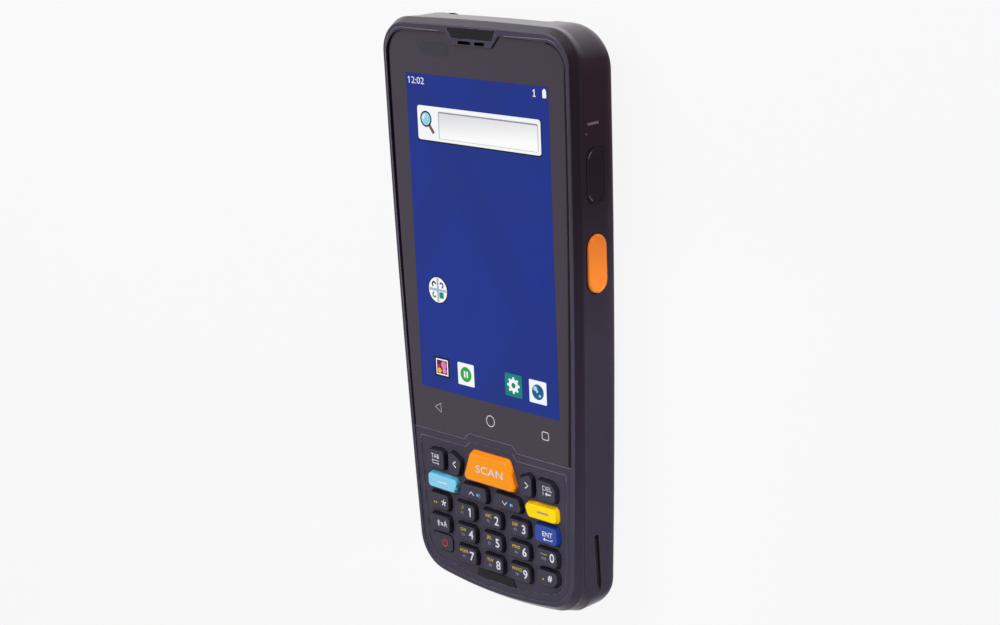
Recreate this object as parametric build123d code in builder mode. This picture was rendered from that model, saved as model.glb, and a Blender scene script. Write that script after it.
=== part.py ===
from build123d import *
import os
from math import atan, degrees

os.makedirs("parts", exist_ok=True)

# A handheld data terminal lying on its back: +Z out of the screen, +Y towards the scanning end,
# +X to the right of the screen.  The origin is the middle of the flat back.  Millimetres.

# ------------------------------------------------------------------ driving sizes: face of the device
DISPLAY_WIDTH = 51.84
DISPLAY_HEIGHT = 86.4
TOP_MARGIN = 3.2
GLASS_BROW = 11.6
GLASS_CHIN = 12.3
KEYPAD_HEAD = 7.85
ROW_PITCH = 6.4
COLUMN_PITCH = 10.2
KEYPAD_FOOT = 10.05

# ------------------------------------------------------------------ driving sizes: case
SHOULDER_WIDTH = 69.8
WAIST_WIDTH = 67.5
HEEL_WIDTH = 62.8
END_SETBACK = 18.5
CASE_DEPTH = 17.3
LIP_RISE = 0.7
BAND_DEPTH = 2.1
BAND_INSET = 1.3
LIP_WIDTH = 1.15
TOP_CROWN = 0.6
BOTTOM_CROWN = 3.1
TOP_CORNER = 9.3
BOTTOM_CORNER = 11.0
REAR_CROWN = 1.8
REAR_TOP_CORNER = 11.5
REAR_CORNER = 8.0
REAR_TURN_Z = 12.5
HEEL_DRAW = 0.7
HEEL_DROP = 0.5
BACK_RADIUS = 6.5
WALL = 2.2
FLOOR = 1.8
SEAL_WIDTH = 1.0
SEAL_HEIGHT = 0.55
SEAL_INSET = 0.8

# ------------------------------------------------------------------ driving sizes: keys
KEY_WIDTH = 7.3
KEY_HEIGHT = 4.25
KEY_FLARE = 0.5
KEY_RISE = 1.25
SCAN_KEY_RISE = 1.75
POWER_KEY_RISE = 0.3
KEY_CORNER = 1.1
KEY_EDGE = 0.25
KEY_TRAVEL = 0.5
KEY_GAP = 0.2
SIDE_COLUMN_LIFT = 0.55
PANEL_DROP = 0.15
PANEL_FRAME_RISE = 0.15
PANEL_FRAME_INSET = 4.3
PANEL_HEAD = 2.3
PLUNGER_RADIUS = 1.2
PLUNGER_LENGTH = 0.75

# ------------------------------------------------------------------ driving sizes: layers and insides
GLASS_THICKNESS = 1.1
DISPLAY_THICKNESS = 1.6
BACKLIGHT_THICKNESS = 1.3
BACKLIGHT_TRAY = 0.3
DISPLAY_BORDER = 1.8
FRAME_THICKNESS = 1.0
BOARD_THICKNESS = 0.8
KEYPAD_BOARD_THICKNESS = 0.6
SHIELD_HEIGHT = 0.9
MAT_THICKNESS = 0.45
DOME_HEIGHT = 0.2
DOME_RADIUS = 2.0
BAY_WIDTH = 45.0
BAY_LENGTH = 64.0
BAY_FOOT = 21.0
BAY_WALL = 1.3
BAY_ROOF = 1.0
COVER_THICKNESS = 1.5
COVER_OVERLAP = 1.5
COVER_PIN_RADIUS = 0.5
COVER_PIN_LENGTH = 1.2
COVER_SHOULDER = 5.0
COVER_HINGE_BEYOND = 3.3
COVER_SHOULDER_BACK = 2.2
COVER_CORNER = 3.5
SCREW_SHANK = 1.0
SCREW_HEAD = 1.7
SCREW_HEAD_HEIGHT = 1.1
SCREW_SINK = 0.9
SCREW_SOCKET = 0.95
SCREW_SOCKET_DEPTH = 0.7
BOSS_RADIUS = 2.2
BOSS_ABOVE = 1.7

# ------------------------------------------------------------------ driving sizes: sides, back and ends
TRIGGER_LENGTH = 15.2
TRIGGER_WIDTH = 6.7
TRIGGER_PROUD = 0.8
TRIGGER_TRAVEL = 0.6
TRIGGER_Y = 18.9
TRIGGER_DROP = 0.3
TRIGGER_FLANGE = 1.0
FLAP_LENGTH = 14.3
FLAP_WIDTH = 7.0
FLAP_THICKNESS = 1.2
FLAP_CORNER = 3.0
FLAP_Y = 41.4
FLAP_DROP = 0.65
USB_WIDTH = 9.0
USB_HEIGHT = 3.2
USB_DEPTH = 7.5
USB_CORNER = 1.5
USB_SHELL = 0.3
USB_TONGUE = 0.7
SLIT_LENGTH = 16.5
SLIT_WIDTH = 1.7
SLIT_DEPTH = 2.6
SLIT_FOOT = 7.5
SLIT_NOSE = 2.5
SLIT_DIP = 1.8
SLIT_BLOCK_WALL = 1.0
WINDOW_WIDTH = 31.0
WINDOW_HEIGHT = 4.5
WINDOW_THICKNESS = 1.1
SCAN_RECESS_WIDTH = 38.0
SCAN_RECESS_HEIGHT = 8.3
SCAN_RECESS_DEPTH = 1.5
ENGINE_WIDTH = 22.0
ENGINE_LENGTH = 15.0
CAMERA_SIZE = 9.0
CAMERA_HEIGHT = 4.4
ENGINE_HEIGHT = 9.0
SPEAKER_LENGTH = 16.0
SPEAKER_WIDTH = 11.0
SPEAKER_HEIGHT = 3.5
SPEAKER_RIM = 1.5
MOTOR_RADIUS = 4.0
MOTOR_HEIGHT = 2.7
BADGE_THICKNESS = 0.45
GROOVE_DEPTH = 0.45
GROOVE_WIDTH = 1.0
GROOVE_LENGTH = 4.8
RESET_WIDTH = 0.9
SPEAKER_SLOT_LENGTH = 9.0
SPEAKER_SLOT_WIDTH = 0.9
SPEAKER_SLOT_PITCH = 1.9

# ------------------------------------------------------------------ clearances
GLASS_GAP = 0.12
PART_GAP = 0.1
SEAT_GAP = 0.2
COVER_GAP = 0.25
TRIGGER_GAP = 0.2
FLAP_GAP = 0.15
PIN_GAP = 0.05

# ------------------------------------------------------------------ derived heights
GLASS_Z = CASE_DEPTH
LIP_Z = GLASS_Z + LIP_RISE
PART_LINE = GLASS_Z - BAND_DEPTH
SEAT_Z = GLASS_Z - GLASS_THICKNESS
PANEL_Z = GLASS_Z - PANEL_DROP
PANEL_FRAME_Z = PANEL_Z + PANEL_FRAME_RISE
DISPLAY_Z = SEAT_Z - DISPLAY_THICKNESS
BACKLIGHT_Z = DISPLAY_Z - BACKLIGHT_THICKNESS
FRAME_TOP = BACKLIGHT_Z - SEAT_GAP
FRAME_Z = FRAME_TOP - FRAME_THICKNESS
BOARD_TOP = FRAME_Z - SEAT_GAP - SHIELD_HEIGHT
BOARD_Z = BOARD_TOP - BOARD_THICKNESS
BAY_ROOF_TOP = BOARD_Z - 4 * SEAT_GAP
BAY_CEILING = BAY_ROOF_TOP - BAY_ROOF
KEYPAD_BOARD_TOP = FRAME_TOP + KEYPAD_BOARD_THICKNESS
PLUNGER_Z = PART_LINE - PLUNGER_LENGTH
MAT_TOP = PART_LINE - KEY_TRAVEL - PART_GAP / 2
COVER_OUT = PART_GAP
COVER_TOP = COVER_OUT + COVER_THICKNESS
SIDE_MIDDLE_Z = (BACK_RADIUS + PART_LINE) / 2
TRIGGER_Z = SIDE_MIDDLE_Z - TRIGGER_DROP

# ------------------------------------------------------------------ derived places along the device
FRONT_LENGTH = TOP_MARGIN + GLASS_BROW + DISPLAY_HEIGHT + GLASS_CHIN
LENGTH = FRONT_LENGTH + KEYPAD_HEAD + 4 * ROW_PITCH + KEYPAD_FOOT
TOP_Y = LENGTH / 2
BOTTOM_Y = -LENGTH / 2
GLASS_TOP = TOP_Y - TOP_MARGIN
DISPLAY_Y = GLASS_TOP - GLASS_BROW - DISPLAY_HEIGHT / 2
GLASS_BOTTOM = DISPLAY_Y - DISPLAY_HEIGHT / 2 - GLASS_CHIN
ROWS = [GLASS_BOTTOM - KEYPAD_HEAD - row * ROW_PITCH for row in range(5)]
PANEL_TOP_Y = GLASS_BOTTOM - PANEL_HEAD
BAY_LOW = BOTTOM_Y + BAY_FOOT
BAY_HIGH = BAY_LOW + BAY_LENGTH
DISPLAY_LENGTH = DISPLAY_HEIGHT + 2 * DISPLAY_BORDER
DISPLAY_PANEL_WIDTH = DISPLAY_WIDTH + 2 * DISPLAY_BORDER


# ------------------------------------------------------------------ shared shapes
def half_width(y):
    """Half width of the case at y: a gentle curve through shoulder, waist and heel."""
    station = TOP_Y - END_SETBACK
    bend = (SHOULDER_WIDTH + HEEL_WIDTH - 2 * WAIST_WIDTH) / 4
    slope = (SHOULDER_WIDTH - HEEL_WIDTH) / 4
    return WAIST_WIDTH / 2 + slope * y / station + bend * (y / station) ** 2


def case_outline(inset, top_inset, top_corner, bottom_corner, heel_draw=0.0, crown=BOTTOM_CROWN):
    """Closed outline along the case, moved in all round, at the top by its own amount, and at the heel."""
    high = TOP_Y - top_inset - TOP_CROWN
    low = BOTTOM_Y + inset + crown
    middle = (high + low) / 2
    with BuildSketch() as outline:
        with BuildLine():
            left_high = (-half_width(high) + inset, high)
            right_high = (half_width(high) - inset, high)
            low_half = half_width(low) - inset - heel_draw
            middle_half = half_width(middle) - inset - heel_draw / 4
            ThreePointArc(left_high, (0, high + TOP_CROWN), right_high)
            ThreePointArc(right_high, (middle_half, middle), (low_half, low))
            ThreePointArc((low_half, low), (0, low - crown), (-low_half, low))
            ThreePointArc((-low_half, low), (-middle_half, middle), left_high)
        make_face()
        fillet(outline.vertices().group_by(Axis.Y)[-1], radius=top_corner)
        fillet(outline.vertices().group_by(Axis.Y)[0], radius=bottom_corner)
    return outline.sketch


def even_outline(inset):
    """The case outline moved in by the same amount all round."""
    return case_outline(inset, inset, TOP_CORNER - inset, BOTTOM_CORNER - inset)


def face_outline(inset):
    """The outline of the raised face, which draws in towards the heel."""
    return case_outline(inset, inset, TOP_CORNER - inset, BOTTOM_CORNER - inset, HEEL_DRAW)


def at_height(face, z):
    """The same flat face lifted to z."""
    with BuildSketch(Plane.XY.offset(z)) as placed:
        add(face)
    return placed.sketch


def grown(face, amount):
    """The same flat face made larger all round."""
    with BuildSketch() as larger:
        add(face)
        offset(amount=amount)
    return larger.sketch


def rectangle_at(x, y, width, length, corner=0.0):
    """Rectangle on the XY plane, with round corners if a radius is given."""
    with BuildSketch() as face:
        with Locations((x, y)):
            if corner:
                RectangleRounded(width, length, corner)
            else:
                Rectangle(width, length)
    return face.sketch


def polygon_face(points, corner=0.0):
    """Closed polygon on the XY plane, with round corners if a radius is given."""
    with BuildSketch() as face:
        with BuildLine():
            Polyline(*points, close=True)
        make_face()
        if corner:
            fillet(face.vertices(), radius=corner)
    return face.sketch


def discs(points, radius):
    """One circle at each point on the XY plane."""
    with BuildSketch() as face:
        with Locations(*points):
            Circle(radius)
    return face.sketch


def plate(face, low, high):
    """Flat plate between two heights."""
    with BuildPart(mode=Mode.PRIVATE) as body:
        extrude(at_height(face, low), amount=high - low)
    return body.part


def mirrored_points(points):
    """The same corners on the other side of the middle line."""
    return [(-x, y) for x, y in points]


def save(body, name):
    """Label a finished piece and write it to its own file."""
    body.label = name
    export_step(body, f"parts/{name}.step")


# ------------------------------------------------------------------ keys: outlines of the top faces
column = [step * COLUMN_PITCH for step in (-2, -1, 0, 1, 2)]
head_row, arrow_row, first_row, second_row, third_row = ROWS
side_first, side_second, side_third = [row + SIDE_COLUMN_LIFT for row in ROWS[2:]]
side_third = side_third + SIDE_COLUMN_LIFT

# corners of the odd-shaped keys on the right half, counted from their row's middle line
SCAN_RIGHT = [(6.8, 5.0), (9.4, -2.0), (8.4, -3.0)]
CHEVRON_RIGHT = [(10.9, 1.3), (14.4, 3.0), (15.7, 2.6), (15.7, -2.8), (12.1, -2.9)]
DEL_RIGHT = [(17.8, 2.7), (22.7, 2.5), (24.2, 1.0), (24.2, -2.6), (17.8, -2.6)]
WIDE_RIGHT = [(12.8, 1.6), (24.2, 1.9), (24.2, -1.9), (14.2, -2.0)]
ARROW_RIGHT = [(1.7, 1.8), (10.6, 1.6), (11.6, -2.0), (1.5, -2.2)]
HASH_RIGHT = [(-3.4, 2.0), (3.5, 2.0), (3.5, -0.5), (1.9, -2.0), (-3.4, -2.0)]


def row_face(points, y, side=1):
    """Odd-shaped key face on its row, on the right (1) or mirrored to the left (-1)."""
    return polygon_face([(side * x, y + rise) for x, rise in points], KEY_CORNER)


def plain_key(x, y):
    """Ordinary key face."""
    return rectangle_at(x, y, KEY_WIDTH, KEY_HEIGHT, KEY_CORNER)


def hash_points(side):
    """Corners of the small outer key of the last row, counted from the middle of the device."""
    return [(column[4] + x, rise) for x, rise in HASH_RIGHT]


scan_face = row_face(SCAN_RIGHT + mirrored_points(SCAN_RIGHT)[::-1], head_row)
key_faces = {
    "key_tab": row_face(DEL_RIGHT, head_row, -1),
    "key_left": row_face(CHEVRON_RIGHT, head_row, -1),
    "key_scan": scan_face,
    "key_right": row_face(CHEVRON_RIGHT, head_row),
    "key_del": row_face(DEL_RIGHT, head_row),
    "key_cyan": row_face(WIDE_RIGHT, arrow_row, -1),
    "key_up": row_face(ARROW_RIGHT, arrow_row, -1),
    "key_down": row_face(ARROW_RIGHT, arrow_row),
    "key_yellow": row_face(WIDE_RIGHT, arrow_row),
    "key_star": plain_key(column[0], side_first),
    "key_enter": rectangle_at(column[4], side_first, KEY_WIDTH + 0.4, KEY_HEIGHT + 0.3, KEY_CORNER),
    "key_shift": plain_key(column[0], side_second),
    "key_0": plain_key(column[4], side_second),
    "key_power": row_face(hash_points(-1), side_third, -1),
    "key_hash": row_face(hash_points(1), side_third),
}
for index, digit in enumerate("123456789"):
    row_y = ROWS[2 + index // 3]
    key_faces[f"key_{digit}"] = plain_key(column[1 + index % 3], row_y)

key_rises = {name: KEY_RISE for name in key_faces}
key_rises["key_scan"] = SCAN_KEY_RISE
key_rises["key_power"] = POWER_KEY_RISE
key_centres = {name: face.bounding_box().center() for name, face in key_faces.items()}
plunger_points = [(centre.X, centre.Y) for centre in key_centres.values()]

# ------------------------------------------------------------------ outlines shared by several pieces
TONGUE_DEPTH = 3.2
TONGUE_FOOT = 7.0
TONGUE_SHOULDER = 9.8
JOG_RISE = 1.85
JOG_OUTER = 10.1
JOG_INNER = 8.2


def pocket_outline(gap):
    """Everything inside the lip, moved in by a gap."""
    side = BAND_INSET + LIP_WIDTH + gap
    return case_outline(side, TOP_MARGIN + gap, TOP_CORNER - side, BOTTOM_CORNER - side, HEEL_DRAW)


def tongue_outline(gap):
    """Outline of the tongue above the receiver, made larger by a gap."""
    high = TOP_Y - BAND_INSET - LIP_WIDTH
    low = GLASS_TOP - TONGUE_DEPTH - gap
    flare = TONGUE_SHOULDER + BAND_INSET + gap
    shoulder = TONGUE_SHOULDER + gap
    foot = TONGUE_FOOT + gap / 2
    right = [(flare, high), (shoulder, GLASS_TOP), (foot, low)]
    return polygon_face(right + mirrored_points(right)[::-1])


def zone_outline(edge, outer, inner, far):
    """Band across the device from a jogged edge line to a far line."""
    right = [(SHOULDER_WIDTH, far), (SHOULDER_WIDTH, edge), (outer, edge), (inner, edge + JOG_RISE)]
    return polygon_face(right + mirrored_points(right)[::-1])


def glass_outline(gap):
    """Outline of the glass: inside the lip, notched for the tongue, jogged at the keypad."""
    with BuildSketch() as outline:
        add(pocket_outline(gap))
        add(zone_outline(GLASS_BOTTOM + gap, JOG_OUTER, JOG_INNER, LENGTH), mode=Mode.INTERSECT)
        add(tongue_outline(gap), mode=Mode.SUBTRACT)
    return outline.sketch


tongue_face = tongue_outline(0)
panel_zone = zone_outline(PANEL_TOP_Y, JOG_OUTER - 0.5, JOG_INNER - 0.9, -LENGTH)
with BuildSketch() as panel_recess:
    add(face_outline(PANEL_FRAME_INSET))
    add(panel_zone, mode=Mode.INTERSECT)

display_face = rectangle_at(0, DISPLAY_Y, DISPLAY_PANEL_WIDTH, DISPLAY_LENGTH, 1.0)
SENSOR_X = -14.7
SENSOR_Y = GLASS_TOP - 4.8
SENSOR_LENGTH = 11.0
SENSOR_WIDTH = 3.8
SLOT_Y = GLASS_TOP - TONGUE_DEPTH + 0.75
SLOT_WIDTH = 0.95
RECEIVER_SLOTS = [(-2.6, 4.8), (2.85, 3.7)]
BADGE_CORNER = 0.3


def badge_face(top_half, top_y, foot_half, foot_y):
    """Four-cornered outline of a name plate, wider at one edge than at the other."""
    corners = [(top_half, top_y), (foot_half, foot_y), (-foot_half, foot_y), (-top_half, top_y)]
    return polygon_face(corners, BADGE_CORNER)


TOP_BADGE_HALF = 8.9
TOP_BADGE_FOOT_HALF = 7.3
LOW_BADGE_HALF = 6.5
LOW_BADGE_FOOT_HALF = 7.8
LOW_BADGE_HEIGHT = 2.5
LOW_BADGE_Y = BOTTOM_Y + 4.5
top_badge_face = badge_face(TOP_BADGE_HALF, TOP_Y - 1.9, TOP_BADGE_FOOT_HALF, GLASS_TOP - 1.45)
LOW_BADGE_TOP = LOW_BADGE_Y + LOW_BADGE_HEIGHT
bottom_badge_face = badge_face(LOW_BADGE_HALF, LOW_BADGE_TOP, LOW_BADGE_FOOT_HALF, LOW_BADGE_Y)

# screws: two beside the scan engine, two under the chin, two under the keypad's foot
SCREW_TOP_X = SHOULDER_WIDTH / 2 - 8.4
SCREW_TOP_Y = TOP_Y - 8.5
SCREW_CHIN_Y = GLASS_BOTTOM + 4.0
SCREW_CHIN_X = half_width(SCREW_CHIN_Y) - 4.8
SCREW_FOOT_X = 14.0
SCREW_FOOT_Y = BOTTOM_Y + 5.9
screw_points = [
    (side * x, y)
    for side in (-1, 1)
    for x, y in (
        (SCREW_TOP_X, SCREW_TOP_Y),
        (SCREW_CHIN_X, SCREW_CHIN_Y),
        (SCREW_FOOT_X, SCREW_FOOT_Y),
    )
]
FRONT_BOSS_Z = FRAME_TOP + PART_GAP
REAR_BOSS_TOP = FRAME_Z - PART_GAP

# ------------------------------------------------------------------ whole outer form and hollow of the rear
rear_outline = case_outline(0, 0, REAR_TOP_CORNER, REAR_CORNER, crown=REAR_CROWN)
with BuildPart() as outer_form:
    # the heel is squarer at the back than at the part line, and the top corners are rounder
    extrude(at_height(rear_outline, 0), amount=REAR_TURN_Z)
    fillet(outer_form.edges().group_by(Axis.Z)[0], radius=BACK_RADIUS)
    with BuildSketch(Plane.XY.offset(REAR_TURN_Z)):
        add(rear_outline)
    with BuildSketch(Plane.XY.offset(PART_LINE)):
        add(even_outline(0))
    loft()

with BuildPart() as hollow:
    extrude(at_height(even_outline(WALL), FLOOR), amount=PART_LINE)
    fillet(hollow.edges().group_by(Axis.Z)[0], radius=BACK_RADIUS - WALL)

# ------------------------------------------------------------------ pieces the front housing is cut by
TONGUE_Z = LIP_Z - PART_GAP
BOTTOM_BADGE_Z = PANEL_Z - BADGE_THICKNESS / 2
SCREW_TIP = FRONT_BOSS_Z + 1.6
tongue = plate(tongue_face, SEAT_Z, TONGUE_Z)
tongue = tongue.chamfer(0.3, None, tongue.edges().group_by(Axis.Z)[-1].sort_by(Axis.Y)[:-1])
seal_ring = plate(even_outline(SEAL_INSET), PART_LINE, PART_LINE + SEAL_HEIGHT)
seal_ring = seal_ring - plate(even_outline(SEAL_INSET + SEAL_WIDTH), PART_LINE, PART_LINE + SEAL_HEIGHT)

sensor_opening = rectangle_at(SENSOR_X, SENSOR_Y, SENSOR_LENGTH, SENSOR_WIDTH, SENSOR_WIDTH / 2 - PART_GAP)
front_openings = [
    plate(grown(display_face, SEAT_GAP), PART_LINE, LIP_Z),
    plate(sensor_opening, PART_LINE, SEAT_Z),
]
for slot_x, slot_length in RECEIVER_SLOTS:
    front_openings.append(plate(rectangle_at(slot_x, SLOT_Y, slot_length, SLOT_WIDTH, 0.2), PART_LINE, LIP_Z))
for face in key_faces.values():
    front_openings.append(plate(grown(face, KEY_FLARE + KEY_GAP), PART_LINE, LIP_Z))

# ------------------------------------------------------------------ front housing
BAND_STEP = 0.5
LIP_EDGE = 0.45
LIP_INNER_EDGE = 0.15
lip_middle = Vector(0, 0, LIP_Z - HEEL_DROP / 2)
lip_plane = Plane(origin=lip_middle, x_dir=(1, 0, 0), z_dir=(0, -HEEL_DROP, LENGTH))
with BuildPart() as front_housing:
    with BuildSketch(Plane.XY.offset(PART_LINE)):
        add(even_outline(0))
    extrude(amount=BAND_STEP)
    with BuildSketch(Plane.XY.offset(PART_LINE + BAND_STEP)):
        add(even_outline(0))
    with BuildSketch(lip_plane):
        add(face_outline(BAND_INSET))
    loft()
    # soften the band's shoulder and the lip
    fillet(front_housing.faces().filter_by(lip_plane).edges(), radius=LIP_EDGE)
    # everything inside the lip is lower than the lip
    extrude(at_height(pocket_outline(0), PANEL_FRAME_Z), amount=BAND_DEPTH, mode=Mode.SUBTRACT)
    fillet(front_housing.faces().filter_by(lip_plane)[0].inner_wires().edges(), radius=LIP_INNER_EDGE)
    # seat of the glass, tongue above the receiver and sunk keypad panel
    extrude(at_height(glass_outline(0), SEAT_Z), amount=BAND_DEPTH, mode=Mode.SUBTRACT)
    add(tongue)
    extrude(at_height(panel_recess.sketch, PANEL_Z), amount=BAND_DEPTH, mode=Mode.SUBTRACT)
    # openings for display, sensor, receiver and keys
    for opening in front_openings:
        add(opening, mode=Mode.SUBTRACT)
    # shallow seats of the two plates
    add(plate(top_badge_face, TONGUE_Z - BADGE_THICKNESS, LIP_Z + PART_GAP), mode=Mode.SUBTRACT)
    add(plate(bottom_badge_face, BOTTOM_BADGE_Z, LIP_Z), mode=Mode.SUBTRACT)
    # groove of the seal, screw bosses and their holes
    add(seal_ring, mode=Mode.SUBTRACT)
    add(plate(discs(screw_points, BOSS_ABOVE), FRONT_BOSS_Z, PART_LINE))
    pilot_holes = discs(screw_points, SCREW_SHANK + PIN_GAP)
    add(plate(pilot_holes, FRONT_BOSS_Z, SCREW_TIP + PART_GAP), mode=Mode.SUBTRACT)

save(front_housing.part, "front_housing")
save(seal_ring, "housing_seal")

# ------------------------------------------------------------------ glass, display and the plates
with BuildPart() as touch_glass:
    add(plate(glass_outline(GLASS_GAP), SEAT_Z, GLASS_Z))
save(touch_glass.part, "touch_glass")

with BuildPart() as display_panel:
    add(plate(display_face, DISPLAY_Z, SEAT_Z))
save(display_panel.part, "display_panel")

with BuildPart() as backlight_unit:
    add(plate(grown(display_face, -2 * SEAT_GAP), BACKLIGHT_Z, DISPLAY_Z))
    tray = rectangle_at(0, DISPLAY_Y, DISPLAY_WIDTH - DISPLAY_BORDER, DISPLAY_HEIGHT - DISPLAY_BORDER)
    add(plate(tray, BACKLIGHT_Z, BACKLIGHT_Z + BACKLIGHT_TRAY), mode=Mode.SUBTRACT)
save(backlight_unit.part, "backlight_unit")

with BuildPart() as top_badge:
    add(plate(grown(top_badge_face, -PIN_GAP), TONGUE_Z - BADGE_THICKNESS, TONGUE_Z))
save(top_badge.part, "top_badge")

with BuildPart() as bottom_badge:
    add(plate(grown(bottom_badge_face, -PIN_GAP), BOTTOM_BADGE_Z, BOTTOM_BADGE_Z + BADGE_THICKNESS))
save(bottom_badge.part, "bottom_badge")

with BuildPart() as light_sensor:
    sensor_package = rectangle_at(SENSOR_X, SENSOR_Y, SENSOR_LENGTH - 1.6, SENSOR_WIDTH - 0.8, 0.4)
    add(plate(sensor_package, PART_LINE - 0.4, SEAT_Z - PART_GAP))
save(light_sensor.part, "light_sensor")

MESH_THICKNESS = 0.15
MESH_LENGTH = 11.4
MESH_WIDTH = 2.4
RECEIVER_LENGTH = 13.0
RECEIVER_WIDTH = 4.5
RECEIVER_HEIGHT = 1.75
with BuildPart() as receiver_mesh:
    add(plate(rectangle_at(0, SLOT_Y, MESH_LENGTH, MESH_WIDTH, 0.4), PART_LINE - MESH_THICKNESS, PART_LINE))
save(receiver_mesh.part, "receiver_mesh")

with BuildPart() as receiver:
    receiver_top = PART_LINE - SEAT_GAP
    receiver_box = rectangle_at(0, SLOT_Y - 0.6, RECEIVER_LENGTH, RECEIVER_WIDTH, 0.8)
    receiver_mouth = rectangle_at(0, SLOT_Y, RECEIVER_LENGTH - 4.0, MESH_WIDTH - 0.8, 0.4)
    add(plate(receiver_box, receiver_top - RECEIVER_HEIGHT, receiver_top))
    add(plate(receiver_mouth, receiver_top - SEAT_GAP, receiver_top), mode=Mode.SUBTRACT)
save(receiver.part, "receiver")

# ------------------------------------------------------------------ keys
KEY_TAPER = degrees(atan(KEY_FLARE / KEY_RISE))
for name, face in key_faces.items():
    centre = key_centres[name]
    foot = grown(face, KEY_FLARE)
    with BuildPart() as key:
        # straight foot guided by the panel, drafted head above it, plunger below
        extrude(at_height(foot, PART_LINE), amount=PANEL_Z - PART_LINE)
        extrude(at_height(foot, PANEL_Z), amount=key_rises[name], taper=KEY_TAPER)
        fillet(key.edges().group_by(Axis.Z)[-1], radius=min(KEY_EDGE, key_rises[name] / 2))
        add(plate(discs([(centre.X, centre.Y)], PLUNGER_RADIUS), PLUNGER_Z, PART_LINE))
    save(key.part, name)

KEYPAD_INSET = 4.6
strip_foot = SCREW_FOOT_Y + BOSS_ABOVE
strip_length = PANEL_TOP_Y - strip_foot - 2 * SEAT_GAP
keypad_strip = rectangle_at(0, (PANEL_TOP_Y + strip_foot) / 2, SHOULDER_WIDTH, strip_length)
with BuildSketch() as keypad_area:
    add(even_outline(KEYPAD_INSET))
    add(keypad_strip, mode=Mode.INTERSECT)

with BuildPart() as keypad_mat:
    add(plate(keypad_area.sketch, MAT_TOP - MAT_THICKNESS, MAT_TOP))
    plunger_holes = discs(plunger_points, PLUNGER_RADIUS + SEAT_GAP)
    add(plate(plunger_holes, MAT_TOP - 2 * MAT_THICKNESS, PART_LINE), mode=Mode.SUBTRACT)
save(keypad_mat.part, "keypad_mat")

with BuildPart() as keypad_board:
    add(plate(keypad_area.sketch, FRAME_TOP, KEYPAD_BOARD_TOP))
save(keypad_board.part, "keypad_board")

with BuildPart() as key_domes:
    extrude(at_height(discs(plunger_points, DOME_RADIUS), KEYPAD_BOARD_TOP), amount=DOME_HEIGHT, taper=60)
save(key_domes.part, "key_domes")

# ------------------------------------------------------------------ places inside and on the rear housing
BAY_MIDDLE = (BAY_LOW + BAY_HIGH) / 2
COVER_HINGE_Y = BAY_HIGH + COVER_HINGE_BEYOND
COVER_LOW = BAY_LOW - COVER_OVERLAP
COVER_HALF = BAY_WIDTH / 2 + COVER_OVERLAP
COVER_HINGE_Z = COVER_OUT + COVER_THICKNESS / 2
HINGE_HALF = COVER_HALF - COVER_SHOULDER
SHOULDER_Y = COVER_HINGE_Y - COVER_SHOULDER_BACK
LEDGE_Z = COVER_TOP + SEAT_GAP
LEDGE_THICKNESS = 1.0
SCOOP_WIDTH = 14.0
COVER_REACH_Y = COVER_HINGE_Y + COVER_THICKNESS / 2
cover_length = SHOULDER_Y - COVER_LOW
cover_main = rectangle_at(0, COVER_LOW + cover_length / 2, 2 * COVER_HALF, cover_length, COVER_CORNER)
cover_tab = rectangle_at(0, (BAY_MIDDLE + COVER_HINGE_Y) / 2, 2 * HINGE_HALF, COVER_HINGE_Y - BAY_MIDDLE)
cover_reach = rectangle_at(0, (BAY_MIDDLE + COVER_REACH_Y) / 2, 2 * HINGE_HALF, COVER_REACH_Y - BAY_MIDDLE)
with BuildSketch() as cover_recess:
    add(cover_main)
    add(cover_reach)
    offset(amount=COVER_GAP, kind=Kind.INTERSECTION)

FLAP_Z = SIDE_MIDDLE_Z - FLAP_DROP
FLAP_HIGH = FLAP_Y + FLAP_LENGTH / 2
FLAP_FLOOR = half_width(FLAP_Y) - FLAP_THICKNESS - FLAP_GAP
SLIT_LOW = BOTTOM_Y + SLIT_FOOT
SLIT_HIGH = SLIT_LOW + SLIT_LENGTH
SLIT_FLOOR = half_width(SLIT_LOW + SLIT_LENGTH / 2) - SLIT_DEPTH
RECESS_Y = TOP_Y - SCAN_RECESS_DEPTH
PANE_SINK = 1.2
PANE_Y = RECESS_Y - PANE_SINK
WINDOW_Z = SCAN_RECESS_HEIGHT - 3.4
PANE_RIM = 0.6
PANE_WIDTH = WINDOW_WIDTH + 2 * PANE_RIM
PANE_HEIGHT = WINDOW_HEIGHT + 2 * PANE_RIM
SPEAKER_X = 12.0
SPEAKER_Y = TOP_Y - 44.5
CAMERA_X = -19.0
CAMERA_Y = TOP_Y - 32.5
CAMERA_HOLE = CAMERA_SIZE * 0.36
CONTACT_PITCH = 3.0
CONTACT_WIDTH = 1.8
CONTACT_HEIGHT = 3.0
CONTACT_SINK = 0.3


def side_plane(x):
    """Drawing plane on the right side: sketch x runs along +Y, sketch y along +Z."""
    return Plane(origin=(x, 0, 0), x_dir=(0, 1, 0), z_dir=(1, 0, 0))


def end_plane(y):
    """Drawing plane across the device: sketch x runs along +X, sketch y along +Z."""
    return Plane(origin=(0, y, 0), x_dir=(1, 0, 0), z_dir=(0, -1, 0))


def side_slot(x, length, width, depth):
    """Round-ended bar at the side trigger's place, from x outwards."""
    with BuildPart() as bar:
        with BuildSketch(side_plane(x)):
            with Locations((TRIGGER_Y, TRIGGER_Z)):
                SlotOverall(length, width)
        extrude(amount=depth)
    return bar.part


def side_pad(x, y, z, length, width, corner, depth):
    """Round-cornered block on the right side, from x outwards."""
    with BuildPart() as pad:
        with BuildSketch(side_plane(x)):
            with Locations((y, z)):
                RectangleRounded(length, width, corner)
        extrude(amount=depth)
    return pad.part


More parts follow.
